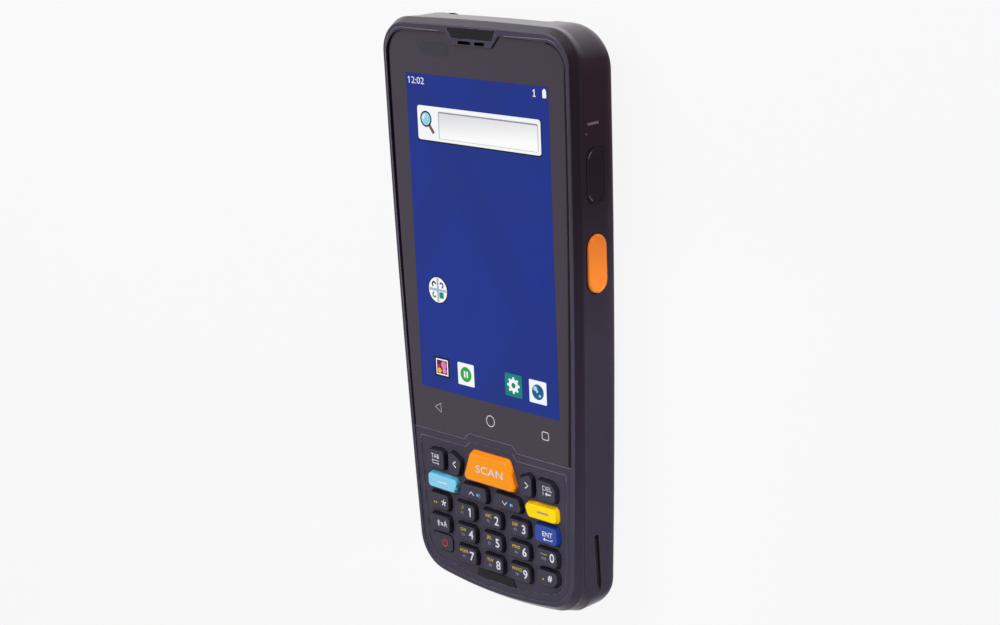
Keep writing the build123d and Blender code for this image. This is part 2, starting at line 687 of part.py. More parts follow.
def end_pad(y, x, z, width, height, corner, depth):
    """Round-cornered block across the device, from y towards +Y."""
    with BuildPart() as pad:
        with BuildSketch(end_plane(y)):
            with Locations((x, z)):
                RectangleRounded(width, height, corner)
        extrude(amount=-depth)
    return pad.part


def both_sides(body):
    """A right-hand piece together with its mirror image."""
    with BuildPart(mode=Mode.PRIVATE) as pair:
        add(body)
        mirror(body, about=Plane.YZ)
    return pair.part


with BuildPart() as strap_slit:
    with BuildSketch(side_plane(SLIT_FLOOR)):
        with BuildLine():
            Polyline(
                (SLIT_HIGH, SIDE_MIDDLE_Z - SLIT_WIDTH / 2),
                (SLIT_HIGH, SIDE_MIDDLE_Z + SLIT_WIDTH / 2),
                (SLIT_LOW + SLIT_NOSE, SIDE_MIDDLE_Z - 0.4),
                (SLIT_LOW, SIDE_MIDDLE_Z - SLIT_DIP),
                (SLIT_LOW + SLIT_NOSE, SIDE_MIDDLE_Z - SLIT_WIDTH - 0.4),
                close=True,
            )
        make_face()
    extrude(amount=2 * WALL)
    fillet(strap_slit.edges().filter_by(Axis.X).group_by(Axis.Y)[-1], radius=SLIT_WIDTH * 0.35)

# ------------------------------------------------------------------ rear housing
with BuildPart() as rear_insides:
    # battery tub, ledge of its cover, screw bosses, frame of the scan window, floor of the strap slits
    tub = rectangle_at(0, BAY_MIDDLE, BAY_WIDTH + 2 * BAY_WALL, BAY_LENGTH + 2 * BAY_WALL, 2.0)
    add(plate(tub, FLOOR / 2, BAY_ROOF_TOP))
    add(plate(grown(cover_recess.sketch, BAY_WALL), FLOOR / 2, LEDGE_Z + LEDGE_THICKNESS))
    add(plate(discs(screw_points, BOSS_RADIUS), FLOOR / 2, REAR_BOSS_TOP))
    frame_depth = SCAN_RECESS_DEPTH + PANE_SINK + WINDOW_THICKNESS + 0.8
    add(end_pad(TOP_Y - frame_depth, 0, WINDOW_Z, SCAN_RECESS_WIDTH + 2, 2 * WINDOW_Z - 0.6, 1.0,
                frame_depth))
    slit_middle = (SLIT_LOW + SLIT_HIGH) / 2
    slit_height = SLIT_DIP + SLIT_WIDTH + 2 * SLIT_BLOCK_WALL / 3
    add(both_sides(side_pad(SLIT_FLOOR - SLIT_BLOCK_WALL, slit_middle, SIDE_MIDDLE_Z - SLIT_BLOCK_WALL,
                            SLIT_LENGTH + 3 * SLIT_BLOCK_WALL, slit_height, SLIT_BLOCK_WALL, SLIT_DEPTH)))
    add(outer_form.part, mode=Mode.INTERSECT)

with BuildPart() as rear_housing:
    add(outer_form.part)
    add(hollow.part, mode=Mode.SUBTRACT)
    add(rear_insides.part)
    # battery bay, seat of the cover with its finger scoop and hinge pin holes
    add(plate(cover_recess.sketch, -1.0, LEDGE_Z), mode=Mode.SUBTRACT)
    bay = rectangle_at(0, BAY_MIDDLE, BAY_WIDTH, BAY_LENGTH, 1.2)
    add(plate(bay, 0, BAY_CEILING), mode=Mode.SUBTRACT)
    add(plate(rectangle_at(0, COVER_LOW - 1.0, SCOOP_WIDTH, 4.0, 1.6), -1.0, LEDGE_Z / 2), mode=Mode.SUBTRACT)
    with BuildSketch(Plane.YZ.offset(-HINGE_HALF - COVER_PIN_LENGTH - SEAT_GAP)):
        with Locations((COVER_HINGE_Y, COVER_HINGE_Z)):
            Circle(COVER_PIN_RADIUS + PIN_GAP)
    extrude(amount=2 * (HINGE_HALF + COVER_PIN_LENGTH + SEAT_GAP), mode=Mode.SUBTRACT)
    # screw holes with sunk heads
    head_holes = discs(screw_points, SCREW_HEAD + PART_GAP)
    add(plate(head_holes, -1.0, SCREW_SINK + SCREW_HEAD_HEIGHT), mode=Mode.SUBTRACT)
    add(plate(discs(screw_points, SCREW_SHANK + PART_GAP), 0, PART_LINE), mode=Mode.SUBTRACT)
    # recess and opening of the scan window in the top end
    add(end_pad(RECESS_Y, 0, 0, SCAN_RECESS_WIDTH, 2 * SCAN_RECESS_HEIGHT, 2.0, BACK_RADIUS),
        mode=Mode.SUBTRACT)
    pane_depth = 2 * frame_depth
    pane_base = TOP_Y - pane_depth
    add(end_pad(pane_base, 0, WINDOW_Z, WINDOW_WIDTH, WINDOW_HEIGHT, 1.0, pane_depth), mode=Mode.SUBTRACT)
    add(end_pad(pane_base, 0, WINDOW_Z, PANE_WIDTH + PART_GAP, PANE_HEIGHT + PART_GAP, 1.2,
                PANE_Y - pane_base), mode=Mode.SUBTRACT)
    # side triggers, port flap, strap slits, groove and reset hole
    add(both_sides(side_slot(half_width(TRIGGER_Y) - 2 * WALL, TRIGGER_LENGTH + 2 * TRIGGER_GAP,
                             TRIGGER_WIDTH + 2 * TRIGGER_GAP, 4 * WALL)), mode=Mode.SUBTRACT)
    add(side_pad(FLAP_FLOOR, FLAP_Y, FLAP_Z, FLAP_LENGTH + 2 * FLAP_GAP, FLAP_WIDTH + 2 * FLAP_GAP,
                 FLAP_CORNER, 2 * WALL), mode=Mode.SUBTRACT)
    add(side_pad(FLAP_FLOOR - 2 * WALL, FLAP_Y, FLAP_Z, USB_WIDTH + 3 * SEAT_GAP, USB_HEIGHT + 3 * SEAT_GAP,
                 USB_CORNER + PART_GAP, 4 * WALL), mode=Mode.SUBTRACT)
    add(both_sides(strap_slit.part), mode=Mode.SUBTRACT)
    groove_y = FLAP_HIGH + 6.0
    groove_x = half_width(groove_y)
    add(side_pad(groove_x - GROOVE_DEPTH, groove_y, SIDE_MIDDLE_Z, GROOVE_WIDTH, GROOVE_LENGTH, GROOVE_DEPTH,
                 WALL), mode=Mode.SUBTRACT)
    add(side_pad(groove_x - 2 * GROOVE_DEPTH, groove_y - GROOVE_LENGTH / 2, SIDE_MIDDLE_Z + GROOVE_LENGTH / 2,
                 RESET_WIDTH, RESET_WIDTH, RESET_WIDTH * 0.49, WALL), mode=Mode.SUBTRACT)
    # camera window, loudspeaker slots and charging contacts
    camera_seat = rectangle_at(CAMERA_X, CAMERA_Y, CAMERA_SIZE, CAMERA_SIZE, 2.2)
    add(plate(camera_seat, -1.0, FLOOR / 2), mode=Mode.SUBTRACT)
    add(plate(discs([(CAMERA_X, CAMERA_Y)], CAMERA_HOLE), 0, 2 * FLOOR), mode=Mode.SUBTRACT)
    for step in (-2, -1, 0, 1, 2):
        speaker_slot = rectangle_at(SPEAKER_X, SPEAKER_Y + SPEAKER_SLOT_PITCH * step, SPEAKER_SLOT_LENGTH,
                                    SPEAKER_SLOT_WIDTH, SPEAKER_SLOT_WIDTH * 0.45)
        add(plate(speaker_slot, -1.0, 2 * FLOOR), mode=Mode.SUBTRACT)
    for step in (-1.5, -0.5, 0.5, 1.5):
        add(end_pad(BOTTOM_Y - WALL, step * CONTACT_PITCH, SIDE_MIDDLE_Z, CONTACT_WIDTH + PART_GAP,
                    CONTACT_HEIGHT + PART_GAP, 0.3, 1.5 * WALL), mode=Mode.SUBTRACT)
save(rear_housing.part, "rear_housing")

# ------------------------------------------------------------------ battery, its cover and contacts
with BuildPart() as battery_cover:
    add(plate(cover_main, COVER_OUT, COVER_TOP))
    add(plate(cover_tab, COVER_OUT, COVER_TOP))
    # round hinge edge with a pin at each end
    with BuildSketch(Plane.YZ.offset(-HINGE_HALF)):
        with Locations((COVER_HINGE_Y, COVER_HINGE_Z)):
            Circle(COVER_THICKNESS / 2)
    extrude(amount=2 * HINGE_HALF)
    with BuildSketch(Plane.YZ.offset(-HINGE_HALF - COVER_PIN_LENGTH)):
        with Locations((COVER_HINGE_Y, COVER_HINGE_Z)):
            Circle(COVER_PIN_RADIUS)
    extrude(amount=2 * (HINGE_HALF + COVER_PIN_LENGTH))
save(battery_cover.part, "battery_cover")

BATTERY_GAP = 0.5
CONTACT_BLOCK = 1.4
BLADE_PITCH = 4.0
BLADE_WIDTH = 1.4
BLADE_HEIGHT = 2.5
battery_high = BAY_HIGH - 2 * BATTERY_GAP - CONTACT_BLOCK
battery_low = BAY_LOW + BATTERY_GAP
battery_face = rectangle_at(
    0, (battery_low + battery_high) / 2, BAY_WIDTH - 2 * BATTERY_GAP, battery_high - battery_low, 2.0
)
with BuildPart() as battery_pack:
    add(plate(battery_face, COVER_TOP + BATTERY_GAP, BAY_CEILING - SEAT_GAP))
    fillet(battery_pack.edges().group_by(Axis.Z)[-1], radius=0.8)
    fillet(battery_pack.edges().group_by(Axis.Z)[0], radius=0.8)
save(battery_pack.part, "battery_pack")

with BuildPart() as battery_contacts:
    strip_y = BAY_HIGH - CONTACT_BLOCK / 2 - PART_GAP
    contact_strip = rectangle_at(0, strip_y, 3.5 * BLADE_PITCH, CONTACT_BLOCK, 0.3)
    add(plate(contact_strip, BAY_CEILING - 2 * BLADE_HEIGHT, BAY_CEILING - PART_GAP))
    blade_low = battery_high + PART_GAP
    blade_reach = BAY_HIGH - CONTACT_BLOCK - PART_GAP - blade_low
    for step in (-1, 0, 1):
        blade = rectangle_at(BLADE_PITCH * step, blade_low + blade_reach / 2, BLADE_WIDTH, blade_reach)
        add(plate(blade, BAY_CEILING - 1.6 * BLADE_HEIGHT, BAY_CEILING - 0.6 * BLADE_HEIGHT))
save(battery_contacts.part, "battery_contacts")

# ------------------------------------------------------------------ boards, frame and their parts
FRAME_INSET = 3.3
TRIGGER_REACH = half_width(TRIGGER_Y) - 6.4
FLEX_Y = DISPLAY_Y - DISPLAY_LENGTH / 2 - 2.0
FLEX_WIDTH = 12.0
FLEX_THICKNESS = 0.2
BOARD_HALF = TRIGGER_REACH - 0.3
BOARD_LOW = FLEX_Y - 1.2
BOARD_HIGH = TOP_Y - 22.5
USB_MOUTH = FLAP_FLOOR - WALL / 2 + 0.1
trigger_clear = rectangle_at(TRIGGER_REACH + 5, TRIGGER_Y, 10.0, TRIGGER_LENGTH + 2 * TRIGGER_FLANGE + 2)

with BuildPart() as mid_frame:
    add(plate(even_outline(FRAME_INSET), FRAME_Z, FRAME_TOP))
    add(plate(discs(screw_points, SCREW_SHANK + SEAT_GAP), FRAME_Z, FRAME_TOP), mode=Mode.SUBTRACT)
    add(both_sides(plate(trigger_clear, FRAME_Z, FRAME_TOP)), mode=Mode.SUBTRACT)
    flex_slot = rectangle_at(0, FLEX_Y, FLEX_WIDTH + 2, 2.4, 0.8)
    add(plate(flex_slot, FRAME_Z, FRAME_TOP), mode=Mode.SUBTRACT)
save(mid_frame.part, "mid_frame")

board_length = BOARD_HIGH - BOARD_LOW
with BuildPart() as main_board:
    board_face = rectangle_at(0, (BOARD_HIGH + BOARD_LOW) / 2, 2 * BOARD_HALF, board_length, 1.5)
    add(plate(board_face, BOARD_Z, BOARD_TOP))
    notch_depth = BOARD_HALF - USB_MOUTH + USB_DEPTH
    usb_notch = rectangle_at(BOARD_HALF, FLAP_Y, 2 * notch_depth + SEAT_GAP, USB_WIDTH + 2 * SEAT_GAP)
    add(plate(usb_notch, BOARD_Z, BOARD_TOP), mode=Mode.SUBTRACT)
save(main_board.part, "main_board")

RADIO_SHIELD = (BOARD_HALF * -0.45, BOARD_LOW + board_length * 0.26, BOARD_HALF * 0.9, board_length * 0.32)
POWER_SHIELD = (BOARD_HALF * 0.52, BOARD_LOW + board_length * 0.22, BOARD_HALF * 0.8, board_length * 0.26)
CORE_SHIELD = (BOARD_HALF * -0.3, BOARD_LOW + board_length * 0.65, BOARD_HALF * 1.05, board_length * 0.28)
SHIELD_CORNER = 0.8
with BuildPart() as shield_cans:
    for middle_x, middle_y, width, length in (RADIO_SHIELD, POWER_SHIELD, CORE_SHIELD):
        can = rectangle_at(middle_x, middle_y, width, length, SHIELD_CORNER)
        add(plate(can, BOARD_TOP, BOARD_TOP + SHIELD_HEIGHT))
save(shield_cans.part, "shield_cans")

with BuildPart() as display_flex:
    # ribbon from the display's lower edge, down through the frame, onto the board
    flex_high = DISPLAY_Y - DISPLAY_LENGTH / 2
    with BuildSketch(Plane.YZ.offset(-FLEX_WIDTH / 2)):
        with BuildLine():
            run = Polyline(
                (flex_high, DISPLAY_Z + 0.5),
                (FLEX_Y, DISPLAY_Z + 0.5),
                (FLEX_Y, BOARD_TOP + FLEX_THICKNESS / 2 + 0.01),
                (FLEX_Y + 3.0, BOARD_TOP + FLEX_THICKNESS / 2 + 0.01),
            )
        trace(run, line_width=FLEX_THICKNESS)
    extrude(amount=FLEX_WIDTH)
    add(plate(rectangle_at(0, DISPLAY_Y, 2 * DISPLAY_WIDTH, DISPLAY_LENGTH), 0, GLASS_Z), mode=Mode.SUBTRACT)
save(display_flex.part, "display_flex")

with BuildPart() as usb_connector:
    usb_back = USB_MOUTH - USB_DEPTH
    add(side_pad(usb_back, FLAP_Y, FLAP_Z, USB_WIDTH, USB_HEIGHT, USB_CORNER, USB_DEPTH))
    add(side_pad(usb_back + 3 * USB_SHELL, FLAP_Y, FLAP_Z, USB_WIDTH - 2 * USB_SHELL,
                 USB_HEIGHT - 2 * USB_SHELL, USB_CORNER - USB_SHELL, USB_DEPTH), mode=Mode.SUBTRACT)
    add(side_pad(usb_back, FLAP_Y, FLAP_Z, USB_WIDTH - 8 * USB_SHELL, USB_TONGUE, 0.2,
                 USB_DEPTH - USB_TONGUE))
save(usb_connector.part, "usb_connector")

with BuildPart() as loudspeaker:
    speaker_box = rectangle_at(SPEAKER_X, SPEAKER_Y, SPEAKER_LENGTH, SPEAKER_WIDTH, SPEAKER_RIM)
    speaker_mouth = rectangle_at(SPEAKER_X, SPEAKER_Y, SPEAKER_LENGTH - 2 * SPEAKER_RIM,
                                 SPEAKER_WIDTH - 2 * SPEAKER_RIM, 2 * SPEAKER_RIM)
    add(plate(speaker_box, FLOOR, FLOOR + SPEAKER_HEIGHT))
    add(plate(speaker_mouth, FLOOR, FLOOR + SPEAKER_HEIGHT / 7), mode=Mode.SUBTRACT)
save(loudspeaker.part, "loudspeaker")

with BuildPart() as vibration_motor:
    motor_face = discs([(4.5 * MOTOR_RADIUS, BOTTOM_Y + 3 * MOTOR_RADIUS)], MOTOR_RADIUS)
    add(plate(motor_face, FLOOR, FLOOR + MOTOR_HEIGHT))
    fillet(vibration_motor.edges().group_by(Axis.Z)[-1], radius=0.4)
save(vibration_motor.part, "vibration_motor")

# ------------------------------------------------------------------ camera and scan engine
with BuildPart() as camera_window:
    add(plate(rectangle_at(CAMERA_X, CAMERA_Y, CAMERA_SIZE - PART_GAP, CAMERA_SIZE - PART_GAP, 2.15),
              PART_GAP, FLOOR / 2))
save(camera_window.part, "camera_window")

with BuildPart() as camera_module:
    add(plate(rectangle_at(CAMERA_X, CAMERA_Y, CAMERA_SIZE, CAMERA_SIZE, 0.6), FLOOR, FLOOR + CAMERA_HEIGHT))
    add(plate(discs([(CAMERA_X, CAMERA_Y)], CAMERA_HOLE - SEAT_GAP), FLOOR / 2 + PART_GAP, FLOOR))
    add(plate(discs([(CAMERA_X, CAMERA_Y)], CAMERA_HOLE / 2), 0, FLOOR / 2 + 0.5), mode=Mode.SUBTRACT)
save(camera_module.part, "camera_module")

ENGINE_FRONT = PANE_Y - WINDOW_THICKNESS - 1.3
LENS_RADIUS = 2.1
LENS_SINK = 2.0
AIMER_X = 6.8
AIMER_WIDTH = 4.6
AIMER_HEIGHT = 3.2
with BuildPart() as scan_engine:
    engine_z = FLOOR + 0.3 + ENGINE_HEIGHT / 2
    add(end_pad(ENGINE_FRONT - ENGINE_LENGTH, 0, engine_z, ENGINE_WIDTH, ENGINE_HEIGHT, 0.8, ENGINE_LENGTH))
    add(end_pad(ENGINE_FRONT - LENS_SINK, 0, WINDOW_Z, 2 * LENS_RADIUS, 2 * LENS_RADIUS, LENS_RADIUS - 0.01,
                1.5 * LENS_SINK), mode=Mode.SUBTRACT)
    for side in (-1, 1):
        add(end_pad(ENGINE_FRONT - 0.8, side * AIMER_X, WINDOW_Z, AIMER_WIDTH, AIMER_HEIGHT, 0.5, LENS_SINK),
            mode=Mode.SUBTRACT)
save(scan_engine.part, "scan_engine")

with BuildPart() as scan_lens:
    lens_size = 2 * (LENS_RADIUS - PIN_GAP)
    add(end_pad(ENGINE_FRONT - LENS_SINK, 0, WINDOW_Z, lens_size, lens_size, LENS_RADIUS - PIN_GAP - 0.01,
                0.8 * LENS_SINK))
    fillet(scan_lens.faces().sort_by(Axis.Y)[-1].edges(), radius=0.4)
save(scan_lens.part, "scan_lens")

with BuildPart() as scan_window:
    add(end_pad(PANE_Y - WINDOW_THICKNESS, 0, WINDOW_Z, PANE_WIDTH, PANE_HEIGHT, 1.2, WINDOW_THICKNESS))
save(scan_window.part, "scan_window")

# ------------------------------------------------------------------ side triggers and their switches
TRIGGER_TOP = half_width(TRIGGER_Y) + TRIGGER_PROUD
FLANGE_TOP = half_width(TRIGGER_Y - TRIGGER_LENGTH / 2 - TRIGGER_FLANGE) - WALL - PART_GAP
FLANGE_THICKNESS = 0.8
FLANGE_BASE = FLANGE_TOP - FLANGE_THICKNESS
NUB_LENGTH = 0.5
NUB_WIDTH = 2.4
SWITCH_LENGTH = 5.0
SWITCH_WIDTH = 3.0
SWITCH_DEPTH = 1.4
with BuildPart() as side_trigger:
    add(side_slot(FLANGE_BASE, TRIGGER_LENGTH, TRIGGER_WIDTH, TRIGGER_TOP - FLANGE_BASE))
    fillet(side_trigger.faces().sort_by(Axis.X)[-1].edges(), radius=0.6)
    add(side_pad(FLANGE_BASE, TRIGGER_Y, TRIGGER_Z, TRIGGER_LENGTH + 2 * TRIGGER_FLANGE, TRIGGER_WIDTH, 1.0,
                 FLANGE_THICKNESS))
    add(side_pad(FLANGE_BASE - NUB_LENGTH, TRIGGER_Y, TRIGGER_Z, NUB_WIDTH, NUB_WIDTH, NUB_WIDTH * 0.45,
                 NUB_LENGTH))
save(side_trigger.part, "side_trigger_right")
save(mirror(side_trigger.part, about=Plane.YZ), "side_trigger_left")

switch_base = FLANGE_BASE - NUB_LENGTH - TRIGGER_TRAVEL - PIN_GAP - SWITCH_DEPTH
side_switch = side_pad(switch_base, TRIGGER_Y, TRIGGER_Z, SWITCH_LENGTH, SWITCH_WIDTH, 0.4, SWITCH_DEPTH)
save(both_sides(side_switch), "side_switches")

# ------------------------------------------------------------------ port flap
with BuildPart() as port_flap:
    add(side_pad(FLAP_FLOOR + FLAP_GAP, FLAP_Y, FLAP_Z, FLAP_LENGTH, FLAP_WIDTH, FLAP_CORNER, 2 * WALL))
    add(side_pad(USB_MOUTH + PART_GAP, FLAP_Y, FLAP_Z, USB_WIDTH - 1.4, USB_HEIGHT - 1.2, 0.9,
                 FLAP_FLOOR + FLAP_GAP - USB_MOUTH - PART_GAP))
    add(outer_form.part, mode=Mode.INTERSECT)
save(port_flap.part, "port_flap")

# ------------------------------------------------------------------ charging contacts and screws
with BuildPart() as charging_contacts:
    for step in (-1.5, -0.5, 0.5, 1.5):
        add(end_pad(BOTTOM_Y + CONTACT_SINK, step * CONTACT_PITCH, SIDE_MIDDLE_Z, CONTACT_WIDTH,
                    CONTACT_HEIGHT, 0.25, WALL / 2 - CONTACT_SINK))
save(charging_contacts.part, "charging_contacts")

with BuildPart() as housing_screws:
    add(plate(discs(screw_points, SCREW_HEAD), SCREW_SINK, SCREW_SINK + SCREW_HEAD_HEIGHT))
    add(plate(discs(screw_points, SCREW_SHANK), SCREW_SINK, SCREW_TIP))
    with BuildSketch(Plane.XY.offset(SCREW_SINK)):
        with Locations(*screw_points):
            RegularPolygon(SCREW_SOCKET, 6)
    extrude(amount=SCREW_SOCKET_DEPTH, mode=Mode.SUBTRACT)
save(housing_screws.part, "housing_screws")
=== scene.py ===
import math

import bpy
from mathutils import Matrix, Vector


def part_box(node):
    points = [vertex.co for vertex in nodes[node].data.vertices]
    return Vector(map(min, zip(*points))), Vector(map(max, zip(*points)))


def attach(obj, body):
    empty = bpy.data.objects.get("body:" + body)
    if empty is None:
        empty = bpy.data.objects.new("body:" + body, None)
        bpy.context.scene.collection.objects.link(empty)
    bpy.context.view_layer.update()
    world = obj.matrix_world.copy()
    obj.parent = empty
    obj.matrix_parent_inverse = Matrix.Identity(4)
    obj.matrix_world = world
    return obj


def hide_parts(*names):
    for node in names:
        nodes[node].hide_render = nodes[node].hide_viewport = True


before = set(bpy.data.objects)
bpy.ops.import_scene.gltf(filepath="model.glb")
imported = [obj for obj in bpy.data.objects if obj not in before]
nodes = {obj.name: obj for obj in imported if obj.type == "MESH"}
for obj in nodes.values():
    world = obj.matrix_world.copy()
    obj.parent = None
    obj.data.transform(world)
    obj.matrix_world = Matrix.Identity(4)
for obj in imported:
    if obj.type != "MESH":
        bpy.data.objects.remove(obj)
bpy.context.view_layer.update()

# ---------------------------------------------------------------- sizes of the dressing, in millimetres
MM = 0.001
PRINT_LIFT = 0.012
PRINT_THICKNESS = 0.02
GLASS_FACE = 17.3
KEY_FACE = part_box("key_5")[1].z / MM
POWER_KEY_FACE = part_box("key_power")[1].z / MM
SCAN_KEY_DIP = 0.06
SCREEN_WIDTH = 51.84
SCREEN_LENGTH = 86.4
SCREEN_MIDDLE = 20.5
ART_STEP = 0.02
ICON_SIZE = 6.2
LEGEND_RIGHT = 0.75
LEGEND_UP = 0.28
FRAME_FACE = 17.3
GLASS_FOOT = -35.0
LIP_MIDDLE = 17.75
LIP_SLOPE = 0.5 / 157.0
SIDE_MIDDLE = 10.85
HALF_WIDTH = 33.75
SIDE_TAPER = 1.75
SIDE_BULGE = 0.6
LIP_INSET = 2.45
LIP_DRAW = 0.7
LIP_HEAD = 74.7
LIP_LENGTH = 147.6
FLAP_MIDDLE = (41.4, 10.2)
TRIGGER_MIDDLE = (18.9, 10.55)


# ---------------------------------------------------------------- small helpers
def shade(red, green, blue):
    """Colour written as 0-255 screen values, as linear light."""
    levels = []
    for value in (red, green, blue):
        level = value / 255
        levels.append(level / 12.92 if level <= 0.04045 else ((level + 0.055) / 1.055) ** 2.4)
    return (*levels, 1.0)


def deselect_all():
    if bpy.context.object and bpy.context.object.mode != "OBJECT":
        bpy.ops.object.mode_set(mode="OBJECT")
    bpy.ops.object.select_all(action="DESELECT")


def settle(piece, x=0.0, y=0.0, z=0.0, turn=0.0):
    """Turn a piece and put it in place, with the place kept in its mesh."""
    place = Matrix.Translation((x * MM, y * MM, z * MM)) @ Matrix.Rotation(turn, 4, "Z")
    piece.data.transform(place @ piece.matrix_basis)
    piece.matrix_basis = Matrix.Identity(4)
    return piece


def name_piece(piece, name):
    piece.name = name
    piece.data.name = name
    return piece


def middle_of(node):
    """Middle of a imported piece's box, in millimetres."""
    low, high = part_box(node)
    return (low.x + high.x) / 2 / MM, (low.y + high.y) / 2 / MM


def dress(piece, material):
    piece.data.materials.clear()
    piece.data.materials.append(material)
    return piece


def joined(name, parts):
    """Several parts made one piece."""
    deselect_all()
    for part in parts:
        part.select_set(True)
    bpy.context.view_layer.objects.active = parts[0]
    if len(parts) > 1:
        bpy.ops.object.join()
    return name_piece(bpy.context.object, name)


def thicken():
    """Give the flat shape in edit mode the thickness of a print, with its faces outwards."""
    bpy.ops.mesh.select_all(action="SELECT")
    bpy.ops.mesh.extrude_region_move(TRANSFORM_OT_translate={"value": (0, 0, PRINT_THICKNESS * MM)})
    bpy.ops.mesh.select_all(action="SELECT")
    bpy.ops.mesh.normals_make_consistent(inside=False)
    bpy.ops.object.mode_set(mode="OBJECT")


def flat_panel(name, x, y, z, width, length, corner=0.0, turn=0.0):
    """Thin sheet with round corners, its underside at z."""
    deselect_all()
    bpy.ops.mesh.primitive_plane_add(size=1.0)
    panel = name_piece(bpy.context.object, name)
    bpy.ops.object.mode_set(mode="EDIT")
    bpy.ops.mesh.select_all(action="SELECT")
    bpy.ops.transform.resize(value=(width * MM, length * MM, 1.0))
    if corner:
        bpy.ops.mesh.bevel(offset=corner * MM, offset_type="OFFSET", segments=5, affect="VERTICES")
    thicken()
    return settle(panel, x, y, z, turn)


def flat_disc(name, x, y, z, radius, sides=40, hole=0.0):
    """Thin disc or ring, its underside at z."""
    deselect_all()
    bpy.ops.mesh.primitive_circle_add(vertices=sides, radius=radius * MM, fill_type="NGON")
    disc = name_piece(bpy.context.object, name)
    bpy.ops.object.mode_set(mode="EDIT")
    bpy.ops.mesh.select_all(action="SELECT")
    if hole:
        bpy.ops.mesh.inset(thickness=(radius - hole) * MM)
        bpy.ops.mesh.delete(type="FACE")
    thicken()
    return settle(disc, x, y, z)


def stroke(name, points, width, z, closed=False):
    """Printed line of one width through points, flattened to a thin sheet."""
    line = bpy.data.curves.new(name, "CURVE")
    line.dimensions = "3D"
    line.bevel_depth = width / 2 * MM
    line.bevel_resolution = 1
    line.use_fill_caps = True
    spline = line.splines.new("POLY")
    spline.points.add(len(points) - 1)
    for point, (x, y) in zip(spline.points, points):
        point.co = (x * MM, y * MM, 0.0, 1.0)
    spline.use_cyclic_u = closed
    drawn = bpy.data.objects.new(name, line)
    bpy.context.collection.objects.link(drawn)
    deselect_all()
    drawn.select_set(True)
    bpy.context.view_layer.objects.active = drawn
    bpy.ops.object.convert(target="MESH")
    drawn = bpy.context.object
    drawn.data.transform(Matrix.Diagonal((1.0, 1.0, PRINT_THICKNESS / width, 1.0)))
    return settle(drawn, 0, 0, z + PRINT_THICKNESS / 2)


def arc_points(x, y, radius, start, end, count=24):
    """Points round part of a circle, angles in degrees."""
    turns = [math.radians(start + (end - start) * step / (count - 1)) for step in range(count)]
    return [(x + radius * math.cos(turn), y + radius * math.sin(turn)) for turn in turns]


def lettering(name, words, x, y, z, height, width=None, bold=0.0):
    """Printed words centred at x, y: height is that of a capital, width that of the whole word."""
    deselect_all()
    bpy.ops.object.text_add()
    text = bpy.context.object
    text.data.body = words
    text.data.size = height * MM / 0.7
    text.data.align_x = "CENTER"
    text.data.resolution_u = 3
    text.data.offset = bold * MM
    text.data.extrude = PRINT_THICKNESS / 2 * MM
    bpy.ops.object.convert(target="MESH")
    text = name_piece(bpy.context.object, name)
    corners = [vertex.co for vertex in text.data.vertices]
    low = min(corner.x for corner in corners)
    high = max(corner.x for corner in corners)
    foot = min(corner.y for corner in corners)
    head = max(corner.y for corner in corners)
    stretch = width * MM / (high - low) if width else 1.0
    text.data.transform(Matrix.Translation((-(low + high) / 2, -(foot + head) / 2, 0)))
    text.data.transform(Matrix.Diagonal((stretch, 1.0, 1.0, 1.0)))
    return settle(text, x, y, z + PRINT_THICKNESS / 2)


# ---------------------------------------------------------------- effects that several finishes share
def new_group(name, inputs, outputs):
    """Empty effect with its named inputs and outputs."""
    group = bpy.data.node_groups.new(name, "ShaderNodeTree")
    for label, kind, value in inputs:
        socket = group.interface.new_socket(name=label, in_out="INPUT", socket_type=kind)
        socket.default_value = value
    for label, kind in outputs:
        group.interface.new_socket(name=label, in_out="OUTPUT", socket_type=kind)
    return group, group.nodes.new("NodeGroupInput"), group.nodes.new("NodeGroupOutput")


def add_node(tree, kind, values=None, links=None, **settings):
    """New node with its settings, socket values and incoming links."""
    node = tree.nodes.new(kind)
    for label, value in settings.items():
        setattr(node, label, value)
    for label, value in (values or {}).items():
        node.inputs[label].default_value = value
    for label, source in (links or {}).items():
        tree.links.new(source, node.inputs[label])
    return node


def make_moulded_grain():
    """Fine spark-eroded mould texture and a slow mottling of its sheen."""
    group, given, result = new_group(
        "moulded_grain",
        [("Scale", "NodeSocketFloat", 3000.0), ("Mottle Scale", "NodeSocketFloat", 60.0)],
        [("Height", "NodeSocketFloat"), ("Mottle", "NodeSocketFloat")],
    )
    place = add_node(group, "ShaderNodeTexCoord")
    coarse = add_node(group, "ShaderNodeTexNoise", {"Detail": 2.0, "Roughness": 0.55},
                      {"Vector": place.outputs["Object"], "Scale": given.outputs["Scale"]})
    cells = add_node(group, "ShaderNodeTexVoronoi", {"Randomness": 1.0},
                     {"Vector": place.outputs["Object"], "Scale": given.outputs["Scale"]})
    height = add_node(group, "ShaderNodeMath", operation="MULTIPLY",
                      links={0: coarse.outputs["Fac"], 1: cells.outputs["Distance"]})
    mottle = add_node(group, "ShaderNodeTexNoise", {"Detail": 4.0, "Roughness": 0.6},
                      {"Vector": place.outputs["Object"], "Scale": given.outputs["Mottle Scale"]})
    group.links.new(height.outputs[0], result.inputs["Height"])
    group.links.new(mottle.outputs["Fac"], result.inputs["Mottle"])
    return group


